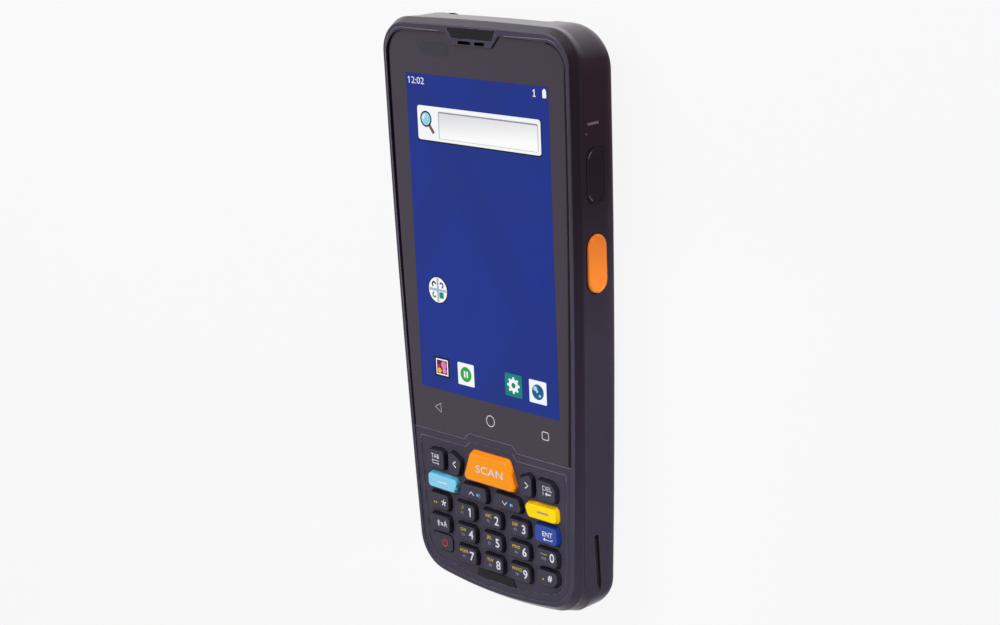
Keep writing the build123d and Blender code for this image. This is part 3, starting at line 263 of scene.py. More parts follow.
def make_rubbed_and_lit_edges():
    """Mask along outer edges, broken up in patches: rubbed wear, and on the case also a painted highlight
    where the edges catch the light.
    """
    group, given, result = new_group(
        "rubbed_and_lit_edges",
        [("Radius", "NodeSocketFloat", 0.0003), ("Break Scale", "NodeSocketFloat", 400.0),
         ("Strength", "NodeSocketFloat", 1.0)],
        [("Mask", "NodeSocketFloat")],
    )
    place = add_node(group, "ShaderNodeTexCoord")
    rounded = add_node(group, "ShaderNodeBevel", links={"Radius": given.outputs["Radius"]}, samples=4)
    surface = add_node(group, "ShaderNodeNewGeometry")
    facing = add_node(group, "ShaderNodeVectorMath", operation="DOT_PRODUCT",
                      links={0: rounded.outputs["Normal"], 1: surface.outputs["Normal"]})
    edge = add_node(group, "ShaderNodeMapRange", {"From Min": 0.995, "From Max": 0.8},
                    {"Value": facing.outputs["Value"]})
    breaks = add_node(group, "ShaderNodeTexNoise", {"Detail": 3.0},
                      {"Vector": place.outputs["Object"], "Scale": given.outputs["Break Scale"]})
    patches = add_node(group, "ShaderNodeMapRange", {"From Min": 0.35, "From Max": 0.65},
                       {"Value": breaks.outputs["Fac"]})
    broken = add_node(group, "ShaderNodeMath", operation="MULTIPLY",
                      links={0: edge.outputs["Result"], 1: patches.outputs["Result"]})
    mask = add_node(group, "ShaderNodeMath", operation="MULTIPLY", use_clamp=True,
                    links={0: broken.outputs[0], 1: given.outputs["Strength"]})
    group.links.new(mask.outputs[0], result.inputs["Mask"])
    return group


def make_two_tone():
    """Colour that drifts softly between two close tones."""
    group, given, result = new_group(
        "two_tone",
        [("Colour", "NodeSocketColor", (0.5, 0.5, 0.5, 1.0)),
         ("Other Colour", "NodeSocketColor", (0.4, 0.4, 0.4, 1.0)),
         ("Scale", "NodeSocketFloat", 80.0)],
        [("Colour", "NodeSocketColor")],
    )
    place = add_node(group, "ShaderNodeTexCoord")
    drift = add_node(group, "ShaderNodeTexNoise", {"Detail": 5.0, "Roughness": 0.6},
                     {"Vector": place.outputs["Object"], "Scale": given.outputs["Scale"]})
    share = add_node(group, "ShaderNodeMapRange", {"From Min": 0.3, "From Max": 0.7},
                     {"Value": drift.outputs["Fac"]})
    mixed = add_node(group, "ShaderNodeMix", data_type="RGBA")
    group.links.new(share.outputs["Result"], mixed.inputs["Factor"])
    group.links.new(given.outputs["Colour"], mixed.inputs["A"])
    group.links.new(given.outputs["Other Colour"], mixed.inputs["B"])
    group.links.new(mixed.outputs["Result"], result.inputs["Colour"])
    return group


def make_hand_marks():
    """Faint smears that fingers leave on gloss."""
    group, given, result = new_group(
        "hand_marks",
        [("Scale", "NodeSocketFloat", 90.0)],
        [("Marks", "NodeSocketFloat")],
    )
    place = add_node(group, "ShaderNodeTexCoord")
    smear = add_node(group, "ShaderNodeMapping", {"Scale": (1.0, 0.35, 1.0), "Rotation": (0.0, 0.0, 0.5)},
                     {"Vector": place.outputs["Object"]})
    noise = add_node(group, "ShaderNodeTexNoise", {"Detail": 6.0, "Roughness": 0.65, "Distortion": 0.6},
                     {"Vector": smear.outputs["Vector"], "Scale": given.outputs["Scale"]})
    marks = add_node(group, "ShaderNodeMapRange", {"From Min": 0.5, "From Max": 0.75},
                     {"Value": noise.outputs["Fac"]})
    group.links.new(marks.outputs["Result"], result.inputs["Marks"])
    return group


def make_facing():
    """Masks of faces that look up out of the terminal, and of those that look along it at its two ends."""
    group, _, result = new_group("facing", [], [("Up", "NodeSocketFloat"), ("End", "NodeSocketFloat")])
    surface = add_node(group, "ShaderNodeNewGeometry")
    parts = add_node(group, "ShaderNodeSeparateXYZ", links={"Vector": surface.outputs["Normal"]})
    upward = add_node(group, "ShaderNodeMapRange", {"From Min": 0.6, "From Max": 0.9},
                      {"Value": parts.outputs["Z"]})
    along = add_node(group, "ShaderNodeMath", links={0: parts.outputs["Y"]}, operation="ABSOLUTE")
    ends = add_node(group, "ShaderNodeMapRange", {"From Min": 0.3, "From Max": 0.9},
                    {"Value": along.outputs[0]})
    group.links.new(upward.outputs["Result"], result.inputs["Up"])
    group.links.new(ends.outputs["Result"], result.inputs["End"])
    return group


moulded_grain = make_moulded_grain()
rubbed_and_lit_edges = make_rubbed_and_lit_edges()
facing = make_facing()
two_tone = make_two_tone()
hand_marks = make_hand_marks()


# ---------------------------------------------------------------- finishes
def new_material(name, shader_values):
    """Material with its shader's plain values set on the shader itself."""
    material = bpy.data.materials.new(name)
    material.use_nodes = True
    tree = material.node_tree
    shader = tree.nodes["Principled BSDF"]
    for label, value in shader_values.items():
        shader.inputs[label].default_value = value
    return material, tree, shader


def use_group(tree, group, **values):
    """Place a shared effect with this material's own values."""
    node = tree.nodes.new("ShaderNodeGroup")
    node.node_tree = group
    for label, value in values.items():
        node.inputs[label.replace("_", " ").title()].default_value = value
    return node


def blend_colour(tree, mask, base, over):
    """Colour that goes from base to over where the mask is bright."""
    mixed = add_node(tree, "ShaderNodeMix", data_type="RGBA")
    tree.links.new(mask, mixed.inputs["Factor"])
    for label, value in (("A", base), ("B", over)):
        if isinstance(value, tuple):
            mixed.inputs[label].default_value = value
        else:
            tree.links.new(value, mixed.inputs[label])
    return mixed.outputs["Result"]


def drifting_tone(tree, colour, other, scale):
    """Colour that drifts between two tones written as 0-255 values."""
    tone = use_group(tree, two_tone, colour=shade(*colour), other_colour=shade(*other), scale=scale)
    return tone.outputs["Colour"]


def vary_roughness(tree, shader, source, low, high):
    spread = add_node(tree, "ShaderNodeMapRange", {"To Min": low, "To Max": high}, {"Value": source})
    tree.links.new(spread.outputs["Result"], shader.inputs["Roughness"])


def bump(tree, shader, height, depth):
    relief = add_node(tree, "ShaderNodeBump", {"Strength": 1.0, "Distance": depth * MM}, {"Height": height})
    tree.links.new(relief.outputs["Normal"], shader.inputs["Normal"])


def moulded(name, colour, other, edge_tint_rubbed_and_lit, roughness=(0.4, 0.55), grain=2600.0, depth=0.02, edge_strength_rubbed_and_lit=0.6,
            specular=0.5, painted_side_shade=None, glossy_ends=False, **coat):
    """Moulded plastic or rubber: drifting tone, rubbed edges with a painted highlight, uneven sheen, grain,
    and painted shade on faces that do not look up.
    """
    plain = {label.replace("_", " "): value for label, value in coat.items()}
    material, tree, shader = new_material(name, {"Specular IOR Level": specular, **plain})
    tone = drifting_tone(tree, colour, other, 70.0)
    edges = use_group(tree, rubbed_and_lit_edges, radius=0.25 * MM, strength=edge_strength_rubbed_and_lit)
    grains = use_group(tree, moulded_grain, scale=grain)
    # edge colour: rubbed wear, and on the case a painted highlight along the edges
    colours = blend_colour(tree, edges.outputs["Mask"], tone, shade(*edge_tint_rubbed_and_lit))
    # painted shade: faces that do not look up take the darker side colour
    if painted_side_shade:
        colours = blend_colour(tree, use_group(tree, facing).outputs["Up"], shade(*painted_side_shade), colours)
    if glossy_ends:
        tree.links.new(use_group(tree, facing).outputs["End"], shader.inputs["Coat Weight"])
    tree.links.new(colours, shader.inputs["Base Color"])
    vary_roughness(tree, shader, grains.outputs["Mottle"], *roughness)
    bump(tree, shader, grains.outputs["Height"], depth)
    return material


def coloured_key(name, colour, other, edge_tint_rubbed_and_lit, painted_side_shade, specular):
    """Satin key cap with painted shade on its sides."""
    return moulded(name, colour, other, edge_tint_rubbed_and_lit, (0.34, 0.46), depth=0.01, specular=specular, painted_side_shade=painted_side_shade)


def ink(name, colour, other, edge_tint_rubbed_and_lit):
    """Print on a key: matt, thin and hardly rubbed."""
    return moulded(name, colour, other, edge_tint_rubbed_and_lit, (0.45, 0.6), depth=0.004, edge_strength_rubbed_and_lit=0.1)


def glossy(name, colour, other, roughness=(0.03, 0.16), specular=0.5):
    """Smooth gloss with drifting tone and finger marks."""
    material, tree, shader = new_material(name, {"Specular IOR Level": specular})
    marks = use_group(tree, hand_marks)
    tree.links.new(drifting_tone(tree, colour, other, 50.0), shader.inputs["Base Color"])
    vary_roughness(tree, shader, marks.outputs["Marks"], *roughness)
    return material


def metal(name, colour, other, roughness=(0.25, 0.45), grain=1800.0):
    """Bare or plated metal with drawn, uneven sheen."""
    material, tree, shader = new_material(name, {"Metallic": 1.0})
    grains = use_group(tree, moulded_grain, scale=grain, mottle_scale=500.0)
    tree.links.new(drifting_tone(tree, colour, other, 220.0), shader.inputs["Base Color"])
    vary_roughness(tree, shader, grains.outputs["Mottle"], *roughness)
    bump(tree, shader, grains.outputs["Height"], 0.006)
    return material


def glowing_material(name):
    """Black gloss that glows: its emission colour is still to be given."""
    return new_material(name, {"Base Color": (0.0, 0.0, 0.0, 1.0), "Specular IOR Level": 0.1,
                               "Roughness": 0.12, "Emission Strength": 1.0})


def lit(name, colour, other, scale=60.0):
    """Part of the picture on the display: it glows, with a slight unevenness."""
    material, tree, shader = glowing_material(name)
    tree.links.new(drifting_tone(tree, colour, other, scale), shader.inputs["Emission Color"])
    return material


def circuit_green():
    """Solder-masked board with faint copper runs under the mask."""
    material, tree, shader = new_material("circuit_green", {"Specular IOR Level": 0.4})
    place = add_node(tree, "ShaderNodeTexCoord")
    runs = add_node(tree, "ShaderNodeTexBrick", {"Scale": 260.0, "Mortar Size": 0.03,
                                                 "Color1": shade(20, 84, 52), "Color2": shade(24, 92, 58),
                                                 "Mortar": shade(96, 132, 70)},
                    {"Vector": place.outputs["Object"]})
    marks = use_group(tree, hand_marks)
    tree.links.new(runs.outputs["Color"], shader.inputs["Base Color"])
    vary_roughness(tree, shader, marks.outputs["Marks"], 0.3, 0.5)
    bump(tree, shader, runs.outputs["Fac"], 0.02)
    return material


def wallpaper():
    """Deep blue picture with faint, darker crossing bands."""
    material, tree, shader = glowing_material("screen_blue")
    place = add_node(tree, "ShaderNodeTexCoord")
    tone = drifting_tone(tree, (22, 46, 140), (26, 48, 132), 25.0)
    bands = None
    for turn in (0.6, -0.6):
        turned = add_node(tree, "ShaderNodeMapping", {"Rotation": (0.0, 0.0, turn)},
                          {"Vector": place.outputs["Object"]})
        wave = add_node(tree, "ShaderNodeTexWave", {"Scale": 7.0, "Distortion": 0.0, "Phase Offset": 1.0},
                        {"Vector": turned.outputs["Vector"]}, wave_profile="SIN")
        narrow = add_node(tree, "ShaderNodeMapRange", {"From Min": 0.8, "From Max": 0.9, "To Max": 0.35},
                          {"Value": wave.outputs["Fac"]})
        if bands is None:
            bands = narrow
        else:
            bands = add_node(tree, "ShaderNodeMath", operation="MAXIMUM",
                             links={0: bands.outputs[0], 1: narrow.outputs[0]})
    colours = blend_colour(tree, bands.outputs[0], tone, shade(26, 44, 120))
    tree.links.new(colours, shader.inputs["Emission Color"])
    return material


def shaded_field():
    """Entry field of the search bar: grey under its upper rim, white towards its foot."""
    material, tree, shader = glowing_material("lit_field")
    place = add_node(tree, "ShaderNodeTexCoord")
    rise = add_node(tree, "ShaderNodeVectorMath", {1: (-0.07, 1.0, 0.0)}, {0: place.outputs["Object"]},
                    operation="DOT_PRODUCT")
    fade = add_node(tree, "ShaderNodeMapRange", {"From Min": 0.0478, "From Max": 0.055},
                    {"Value": rise.outputs["Value"]})
    colours = blend_colour(tree, fade.outputs["Result"], shade(250, 250, 250), shade(214, 214, 218))
    tree.links.new(colours, shader.inputs["Emission Color"])
    return material


# case: the dark side colour is painted shade on the band and sides, and the bright edge colour is partly a
# painted highlight
case_charcoal = moulded("case_charcoal", (63, 59, 73), (58, 54, 68), (150, 144, 166),
                        (0.42, 0.54), edge_strength_rubbed_and_lit=0.8, specular=0.12, painted_side_shade=(28, 21, 31), glossy_ends=True,
                        Coat_Roughness=0.32)
rear_charcoal = moulded("rear_charcoal", (48, 43, 53), (43, 39, 49), (92, 86, 100),
                        (0.45, 0.6), depth=0.03, edge_strength_rubbed_and_lit=0.5, specular=0.04, glossy_ends=True,
                        Coat_Roughness=0.25, Coat_IOR=1.7)
# keys: the dark side colour is painted shade on the key sides
key_black = moulded("key_black", (62, 59, 73), (57, 54, 68), (92, 88, 104), (0.4, 0.52),
                    grain=3600.0, depth=0.01, edge_strength_rubbed_and_lit=0.3, specular=0.12, painted_side_shade=(24, 22, 29))
# coloured keys: the darker side colour is painted shade on their sides
key_orange = coloured_key("key_orange", (252, 156, 28), (246, 148, 24), (255, 180, 70),
                          painted_side_shade=(236, 132, 22), specular=0.15)
key_cyan = coloured_key("key_cyan", (138, 210, 236), (130, 204, 230), (186, 232, 246),
                        painted_side_shade=(84, 168, 196), specular=0.2)
key_yellow = coloured_key("key_yellow", (255, 220, 8), (250, 212, 6), (255, 236, 100),
                          painted_side_shade=(214, 168, 6), specular=0.15)
key_blue = coloured_key("key_blue", (50, 76, 158), (44, 70, 150), (94, 122, 198),
                        painted_side_shade=(18, 40, 110), specular=0.2)
trigger_orange = moulded("trigger_orange", (230, 134, 47), (226, 128, 41), (248, 172, 94),
                         (0.4, 0.52), specular=0.15)
flap_rubber = moulded("flap_rubber", (42, 37, 46), (38, 33, 42), (76, 70, 82), (0.5, 0.65),
                      depth=0.03, edge_strength_rubbed_and_lit=0.5, specular=0.05)
seal_rubber = moulded("seal_rubber", (58, 58, 60), (48, 48, 50), (80, 80, 82), (0.6, 0.75),
                      depth=0.03, edge_strength_rubbed_and_lit=0.2)
part_black = moulded("part_black", (28, 28, 31), (22, 22, 25), (60, 60, 66), (0.4, 0.6),
                     depth=0.015, edge_strength_rubbed_and_lit=0.4)
battery_wrap = moulded("battery_wrap", (58, 66, 78), (50, 58, 70), (92, 100, 112),
                       (0.25, 0.4), grain=500.0, depth=0.05, edge_strength_rubbed_and_lit=0.4)
flex_amber = moulded("flex_amber", (196, 120, 36), (184, 108, 30), (214, 150, 70),
                     (0.3, 0.45), depth=0.01, edge_strength_rubbed_and_lit=0.3)
screen_mask = glossy("screen_mask", (51, 40, 56), (46, 36, 51), (0.05, 0.14), 0.35)
badge_gloss = glossy("badge_gloss", (20, 19, 23), (15, 14, 18), (0.2, 0.32), 0.15)
window_red = glossy("window_red", (46, 10, 14), (32, 6, 10), (0.02, 0.08))
lens_clear = glossy("lens_clear", (20, 24, 44), (30, 18, 44), (0.01, 0.05))
display_stack = glossy("display_stack", (30, 32, 36), (24, 26, 30), (0.2, 0.3))
sensor_glaze = glossy("sensor_glaze", (38, 37, 52), (32, 31, 46), (0.05, 0.14), 0.35)
plated_gold = metal("plated_gold", (226, 184, 92), (212, 168, 80), (0.18, 0.32))
bright_steel = metal("bright_steel", (190, 192, 196), (172, 174, 180))
dark_steel = metal("dark_steel", (96, 96, 102), (78, 78, 84), (0.3, 0.5))
frame_alloy = metal("frame_alloy", (176, 178, 182), (160, 162, 168), (0.35, 0.55), grain=900.0)
board_green = circuit_green()
screen_blue = wallpaper()
print_white = ink("print_white", (226, 226, 230), (212, 212, 218), (236, 236, 238))
print_yellow = ink("print_yellow", (206, 178, 40), (192, 164, 34), (216, 192, 80))
print_lilac = ink("print_lilac", (136, 136, 176), (124, 124, 164), (150, 150, 186))
print_blue = ink("print_blue", (120, 178, 216), (108, 166, 206), (140, 190, 222))
print_red = ink("print_red", (206, 40, 52), (192, 34, 46), (216, 70, 80))
print_grey = ink("print_grey", (150, 146, 128), (138, 134, 118), (160, 156, 140))
# painted highlight for thin bright lines along edges that catch the light
painted_edge_highlight = moulded("painted_edge_highlight", (128, 122, 138), (112, 106, 122), (150, 146, 160),
                     (0.4, 0.5), depth=0.004, edge_strength_rubbed_and_lit=0.1, specular=0.2)
# painted highlight for the glints on the flap and the pale marks on the side
painted_lilac_highlight = moulded("painted_lilac_highlight", (130, 131, 149), (121, 122, 140), (140, 132, 150),
                     (0.4, 0.5), depth=0.004, edge_strength_rubbed_and_lit=0.1, specular=0.15)
# black: painted shade in gaps, slits and grip lines, and the dark iris of the camera
black_and_painted_shade = glossy("black_and_painted_shade", (10, 8, 10), (7, 6, 8), (0.25, 0.35), 0.1)
lit_white = lit("lit_white", (246, 248, 250), (238, 240, 244))
lit_grey = lit("lit_grey", (150, 152, 158), (132, 134, 142))
lit_line = lit("lit_line", (206, 204, 210), (192, 190, 196))
lit_teal = lit("lit_teal", (8, 136, 122), (6, 124, 112))
lit_frost = lit("lit_frost", (176, 190, 214), (160, 176, 204), scale=300.0)
lit_violet = lit("lit_violet", (96, 80, 150), (76, 60, 130), scale=300.0)
lit_gold = lit("lit_gold", (250, 190, 50), (244, 160, 70), scale=400.0)
lit_crimson = lit("lit_crimson", (196, 34, 66), (170, 30, 84), scale=400.0)
lit_field = shaded_field()
lit_green = lit("lit_green", (56, 168, 70), (44, 150, 60))
lit_sky = lit("lit_sky", (176, 224, 240), (130, 200, 226), scale=300.0)
lit_ocean = lit("lit_ocean", (30, 102, 150), (16, 72, 122), scale=300.0)
lit_pink = lit("lit_pink", (226, 104, 166), (236, 140, 180), scale=400.0)
lit_plum = lit("lit_plum", (84, 34, 84), (52, 26, 70), scale=240.0)
lit_brown = lit("lit_brown", (160, 98, 56), (126, 74, 42), scale=300.0)
lit_night = lit("lit_night", (24, 26, 34), (18, 20, 28))

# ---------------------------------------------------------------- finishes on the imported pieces
node_finishes = {
    case_charcoal: ["front_housing"],
    rear_charcoal: ["rear_housing", "battery_cover"],
    screen_mask: ["touch_glass"],
    key_orange: ["key_scan"],
    key_cyan: ["key_cyan"],
    key_yellow: ["key_yellow"],
    key_blue: ["key_enter"],
    trigger_orange: ["side_trigger_right", "side_trigger_left"],
    flap_rubber: ["port_flap"],
    seal_rubber: ["housing_seal", "keypad_mat"],
    badge_gloss: ["top_badge", "bottom_badge"],
    part_black: ["receiver", "light_sensor", "scan_engine", "loudspeaker", "camera_module", "side_switches"],
    window_red: ["scan_window"],
    lens_clear: ["scan_lens", "camera_window"],
    display_stack: ["display_panel"],
    battery_wrap: ["battery_pack"],
    flex_amber: ["display_flex"],
    plated_gold: ["battery_contacts", "charging_contacts"],
    bright_steel: ["backlight_unit", "shield_cans", "key_domes", "usb_connector", "vibration_motor"],
    dark_steel: ["housing_screws", "receiver_mesh"],
    frame_alloy: ["mid_frame"],
    board_green: ["main_board", "keypad_board"],
}
for finish, names in node_finishes.items():
    for node_name in names:
        dress(nodes[node_name], finish)


def dress_black_keys():
    coloured = {"key_scan", "key_cyan", "key_yellow", "key_enter", "key_domes"}
    for name, node in nodes.items():
        if name.startswith("key_") and name not in coloured:
            dress(node, key_black)


dress_black_keys()


# ---------------------------------------------------------------- picture on the display
def on_terminal(piece):
    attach(piece, "terminal")
    return piece


def screen_level(step):
    """Height of a layer of the picture above the glass."""
    return GLASS_FACE + PRINT_LIFT + step * ART_STEP


def screen_panel(name, x, y, step, width, length, finish, corner=0.0):
    """Flat patch of the picture, as many layers up as step says."""
    return dress(flat_panel(name, x, y, screen_level(step), width, length, corner), finish)


def screen_disc(name, x, y, step, radius, finish, sides=40, hole=0.0):
    return dress(flat_disc(name, x, y, screen_level(step), radius, sides, hole), finish)


def screen_line(name, points, width, step, finish, closed=False):
    return dress(stroke(name, points, width, screen_level(step), closed), finish)


def add_wallpaper():
    picture = screen_panel("screen_wallpaper", 0, SCREEN_MIDDLE, 0, SCREEN_WIDTH, SCREEN_LENGTH, screen_blue)
    on_terminal(picture)


def add_status_line():
    level = screen_level(1)
    clock = dress(lettering("clock_digits", "12:02", -21.9, 61.8, level, 1.8, 5.8, -0.01), lit_white)
    channel = dress(lettering("channel_digit", "1", 21.15, 61.9, level, 1.8, None, 0.03), lit_white)
    ends = ([(-25.15, 62.25), (-24.7, 62.6)], [(20.6, 62.3), (21.1, 62.7)], [(20.65, 61.05), (21.6, 61.05)])
    flags = [screen_line("digit_flag", line, 0.22, 1, lit_white) for line in ends]
    cell = screen_panel("charge_cell", 24.6, 61.85, 1, 1.3, 2.0, lit_white, 0.25)
    tip = screen_panel("charge_tip", 24.6, 62.95, 1, 0.7, 0.4, lit_white, 0.1)
    on_terminal(joined("status_line", [clock, channel, cell, tip, *flags]))


def add_search_bar():
    shadow = screen_panel("bar_shadow", 0.4, 50.55, 1, 45.5, 9.5, lit_night, 0.9)
    bar = screen_panel("bar_frame", 0.4, 50.75, 2, 45.0, 9.1, lit_white, 0.8)
    rim = screen_panel("field_rim", 3.9, 50.55, 3, 36.2, 7.2, lit_grey, 0.5)
    field = screen_panel("field", 3.95, 50.4, 4, 35.8, 6.7, lit_field, 0.4)
    on_terminal(joined("search_bar", [shadow, bar, rim, field]))


def add_magnifier():
    x, y = -18.9, 51.8
    ring = screen_disc("lens_ring", x, y, 3, 2.15, lit_night)
    glass = screen_disc("lens_pane", x, y, 4, 1.7, lit_sky)
    glint = screen_line("lens_glint", arc_points(x, y, 1.1, 110, 190, 8), 0.4, 5, lit_white)
    edge = screen_line("grip_edge", [(-17.7, 50.2), (-16.1, 48.2)], 0.95, 3, lit_night)
    grip = screen_line("grip", [(-17.6, 50.1), (-16.2, 48.35)], 0.6, 4, lit_brown)
    on_terminal(joined("magnifier_icon", [ring, glass, glint, edge, grip]))


def add_round_icon():
    """White button with a pale cross and four small swirls."""
    x, y = -17.6, 5.5
    parts = [dress(flat_disc("round_shade", x, y, screen_level(0) + 0.01, 3.8), lit_night)]
    parts.append(screen_disc("round_base", x, y, 1, 3.5, lit_white))
    cross = [[(x - 3.35, y), (x + 3.35, y)], [(x, y - 3.35), (x, y + 3.35)]]
    parts += [screen_line("round_line", ends, 0.75, 2, lit_frost) for ends in cross]
    for turn, finish in ((45, lit_violet), (135, lit_night), (225, lit_green)):
        spot = arc_points(x, y, 2.05, turn, turn, 2)[0]
        swirl = arc_points(*spot, 0.62, turn - 130, turn + 110, 12)
        parts.append(screen_line("round_swirl", swirl, 0.5, 2, finish))
    spot = arc_points(x, y, 1.9, 315, 315, 2)[0]
    parts.append(screen_panel("round_tile", *spot, 2, 1.7, 1.7, lit_teal, 0.4))
    parts.append(screen_panel("round_bar", *spot, 3, 1.5, 0.35, lit_green))
    on_terminal(joined("round_icon", parts))


def add_picture_icon():
    """Dark frame with a white mount round a patch of warm colours."""
    x, y = -17.45, -16.1
    parts = [
        screen_panel("picture_back", x, y, 1, 5.8, 5.6, lit_night, 0.3),
        screen_panel("picture_mount", x, y, 2, 4.6, 4.5, lit_white),
        screen_panel("picture_sky", x, y, 3, 3.9, 3.8, lit_plum),
    ]
    spots = ((0.7, 0.7, 1.05, lit_pink), (-1.35, 0.2, 0.55, lit_crimson), (-1.0, -1.0, 0.75, lit_gold),
             (0.9, -0.9, 0.8, lit_pink))
    for dx, dy, radius, finish in spots:
        parts.append(screen_disc("picture_spot", x + dx, y + dy, 4, radius, finish, 14))
    on_terminal(joined("picture_icon", parts))


def icon_tile(name, x, y, finish):
    return screen_panel(name, x, y, 1, ICON_SIZE, ICON_SIZE, finish, 0.3)


def add_call_icon():
    x, y = -8.2, -16.5
    parts = [icon_tile("call_tile", x, y, lit_white), screen_disc("call_disc", x, y, 2, 2.1, lit_green)]
    parts += [screen_panel("call_mark", x + side * 0.5, y, 3, 0.55, 1.8, lit_white, 0.1) for side in (-1, 1)]
    on_terminal(joined("call_icon", parts))


def add_gear_icon():
    x, y = 9.7, -16.2
    wheel = screen_disc("gear_wheel", x, y, 2, 1.7, lit_white, hole=0.75)
    parts = [icon_tile("gear_tile", x, y, lit_teal), wheel]
    for turn in range(0, 360, 45):
        spot = arc_points(x, y, 1.85, turn, turn, 2)[0]
        tooth = flat_panel("gear_tooth", *spot, screen_level(2), 0.75, 0.7, 0.1, math.radians(turn))
        parts.append(dress(tooth, lit_white))
    on_terminal(joined("gear_icon", parts))


def add_globe_icon():
    x, y = 18.55, -16.35
    parts = [icon_tile("globe_tile", x, y, lit_white), screen_disc("globe_ball", x, y, 2, 2.1, lit_ocean)]
    lands = ((-0.9, 0.85, 0.7), (-0.25, 0.2, 0.45), (0.7, -0.95, 0.4))
    parts += [screen_disc("globe_land", x + dx, y + dy, 3, size, lit_sky, 7) for dx, dy, size in lands]
    on_terminal(joined("globe_icon", parts))


def add_touch_icons():
    square = []
    for x, y, start in ((21.35, -27.3, 0), (19.95, -27.3, 90), (19.95, -28.5, 180), (21.35, -28.5, 270)):
        square += arc_points(x, y, 0.45, start, start + 90, 4)
    outlines = {
        "back_outline": [(-20.95, -27.9), (-18.75, -26.6), (-18.75, -29.2)],
        "home_outline": arc_points(0.4, -27.9, 1.5, 0, 345),
        "recent_outline": square,
    }
    parts = [screen_line(name, points, 0.28, 0, lit_line, closed=True) for name, points in outlines.items()]
    on_terminal(joined("touch_icons", parts))


def add_sensor_window():
    """Tinted oval printed over the light sensor."""
    on_terminal(screen_panel("sensor_window", -14.7, 70.5, 0, 11.0, 3.8, sensor_glaze, 1.85))


def half_width(y):
    """Half width of the case at y, as its sides run."""
    reach = y / 60.0
    return HALF_WIDTH + SIDE_TAPER * reach - SIDE_BULGE * reach * reach


def lip_side(y, inset):
    """Distance from the middle line to the inner side of the lip, which draws in towards the heel."""
    share = (LIP_HEAD - y) / LIP_LENGTH
    return half_width(y) - LIP_INSET - LIP_DRAW * share * share - inset


def raise_to_lip(piece):
    """Lay a flat piece on the lip, which slopes down towards the heel."""
    for vertex in piece.data.vertices:
        vertex.co.z += LIP_MIDDLE * MM + LIP_SLOPE * vertex.co.y
    return piece


def wrap_on_side(piece, sink=0.0):
    """Lay a flat piece, drawn with its x as minus the height, on the right side of the case."""
    for vertex in piece.data.vertices:
        across, along, rise = vertex.co
        vertex.co = ((half_width(along / MM) - sink) * MM + rise, along, -across)
    return piece


def add_lip_glint():
    """Painted highlight: thin bright line where the inner edge of the lip catches the light."""
    x, y = lip_side(68.0, -0.3) - 6.9, 75.6 - 6.9
    left = [(-lip_side(step * 12.0 - 20.0, -0.3), step * 12.0 - 20.0) for step in range(8)]
    left += [(-across, along) for across, along in arc_points(x, y, 6.9, 0, 90, 14)] + [(-11.9, 75.45)]
    right = [(11.9, 75.45)] + list(reversed(arc_points(x, y, 6.9, 55, 90, 8)))
    for name, line in (("lip_glint_left", left), ("lip_glint_right", right)):
        on_terminal(dress(raise_to_lip(stroke(name, line, 0.16, PRINT_LIFT)), painted_edge_highlight))


def add_groove_shade():
    """Painted shade: black line in the gap between the glass and the lip, wide at the right, narrow at the
    top and left.
    """

    def side(inset, sign):
        ends = [-34.6 + step * 14.5 for step in range(8)]
        return [(sign * lip_side(y, inset), y) for y in ends]

    def corner(inset, radius):
        x, y = lip_side(68.0, inset) - radius, 75.3 - inset - radius
        return arc_points(x, y, radius, 0, 90, 14)

    left = side(0.22, -1) + [(-x, y) for x, y in corner(0.22, 6.6)] + [(-11.6, 75.1)]
    on_terminal(screen_line("groove_shade_right", side(0.62, 1) + corner(0.5, 6.4), 1.1, 0, black_and_painted_shade))
    on_terminal(screen_line("groove_shade_left", left, 0.34, 0, black_and_painted_shade))
    on_terminal(screen_line("groove_shade_top", [(11.6, 75.1), (22.0, 75.05)], 0.34, 0, black_and_painted_shade))


def add_glass_edge_highlight():
    """Painted highlight: thin bright line where the glass meets the keypad panel, with its step round the
    scan key.
    """
    level = FRAME_FACE + PRINT_LIFT
    right = [(8.2, GLASS_FOOT + 1.82), (10.1, GLASS_FOOT - 0.04), (29.4, GLASS_FOOT - 0.04)]
    left = [(-x, y) for x, y in reversed(right)]
    on_terminal(dress(stroke("glass_edge_highlight", left + right, 0.16, level), painted_edge_highlight))


def add_panel_frame_highlight():
    """Painted highlight: thin bright edge of the sunk keypad panel along its head."""
    level = FRAME_FACE + PRINT_LIFT
    foot = GLASS_FOOT - 2.2
    for side, name in ((-1, "frame_highlight_left"), (1, "frame_highlight_right")):
        line = [(side * 27.6, foot - 1.6), (side * 27.5, foot), (side * 9.7, foot), (side * 8.0, foot + 1.7)]
        on_terminal(dress(stroke(name, line, 0.14, level), painted_edge_highlight))


def add_side_marks():
    """Painted highlights: pale strip and dot in the small groove and hole high on the right side, where
    their walls catch the light.
    """
    strip = stroke("groove_highlight", [(-SIDE_MIDDLE - 2.1, 54.55), (-SIDE_MIDDLE + 2.1, 54.55)], 0.8, 0.0)
    on_terminal(dress(wrap_on_side(strip, 0.12), painted_lilac_highlight))
    dot = flat_disc("hole_highlight", -13.25, 52.15, 0.0, 0.32, sides=16)
    on_terminal(dress(wrap_on_side(dot, 0.2), painted_lilac_highlight))


def mirrored(piece, name):
    """The same piece on the left side."""
    other = bpy.data.objects.new(name, piece.data.copy())
    bpy.context.collection.objects.link(other)
    other.data.transform(Matrix.Diagonal((-1.0, 1.0, 1.0, 1.0)))
    other.data.flip_normals()
    return other


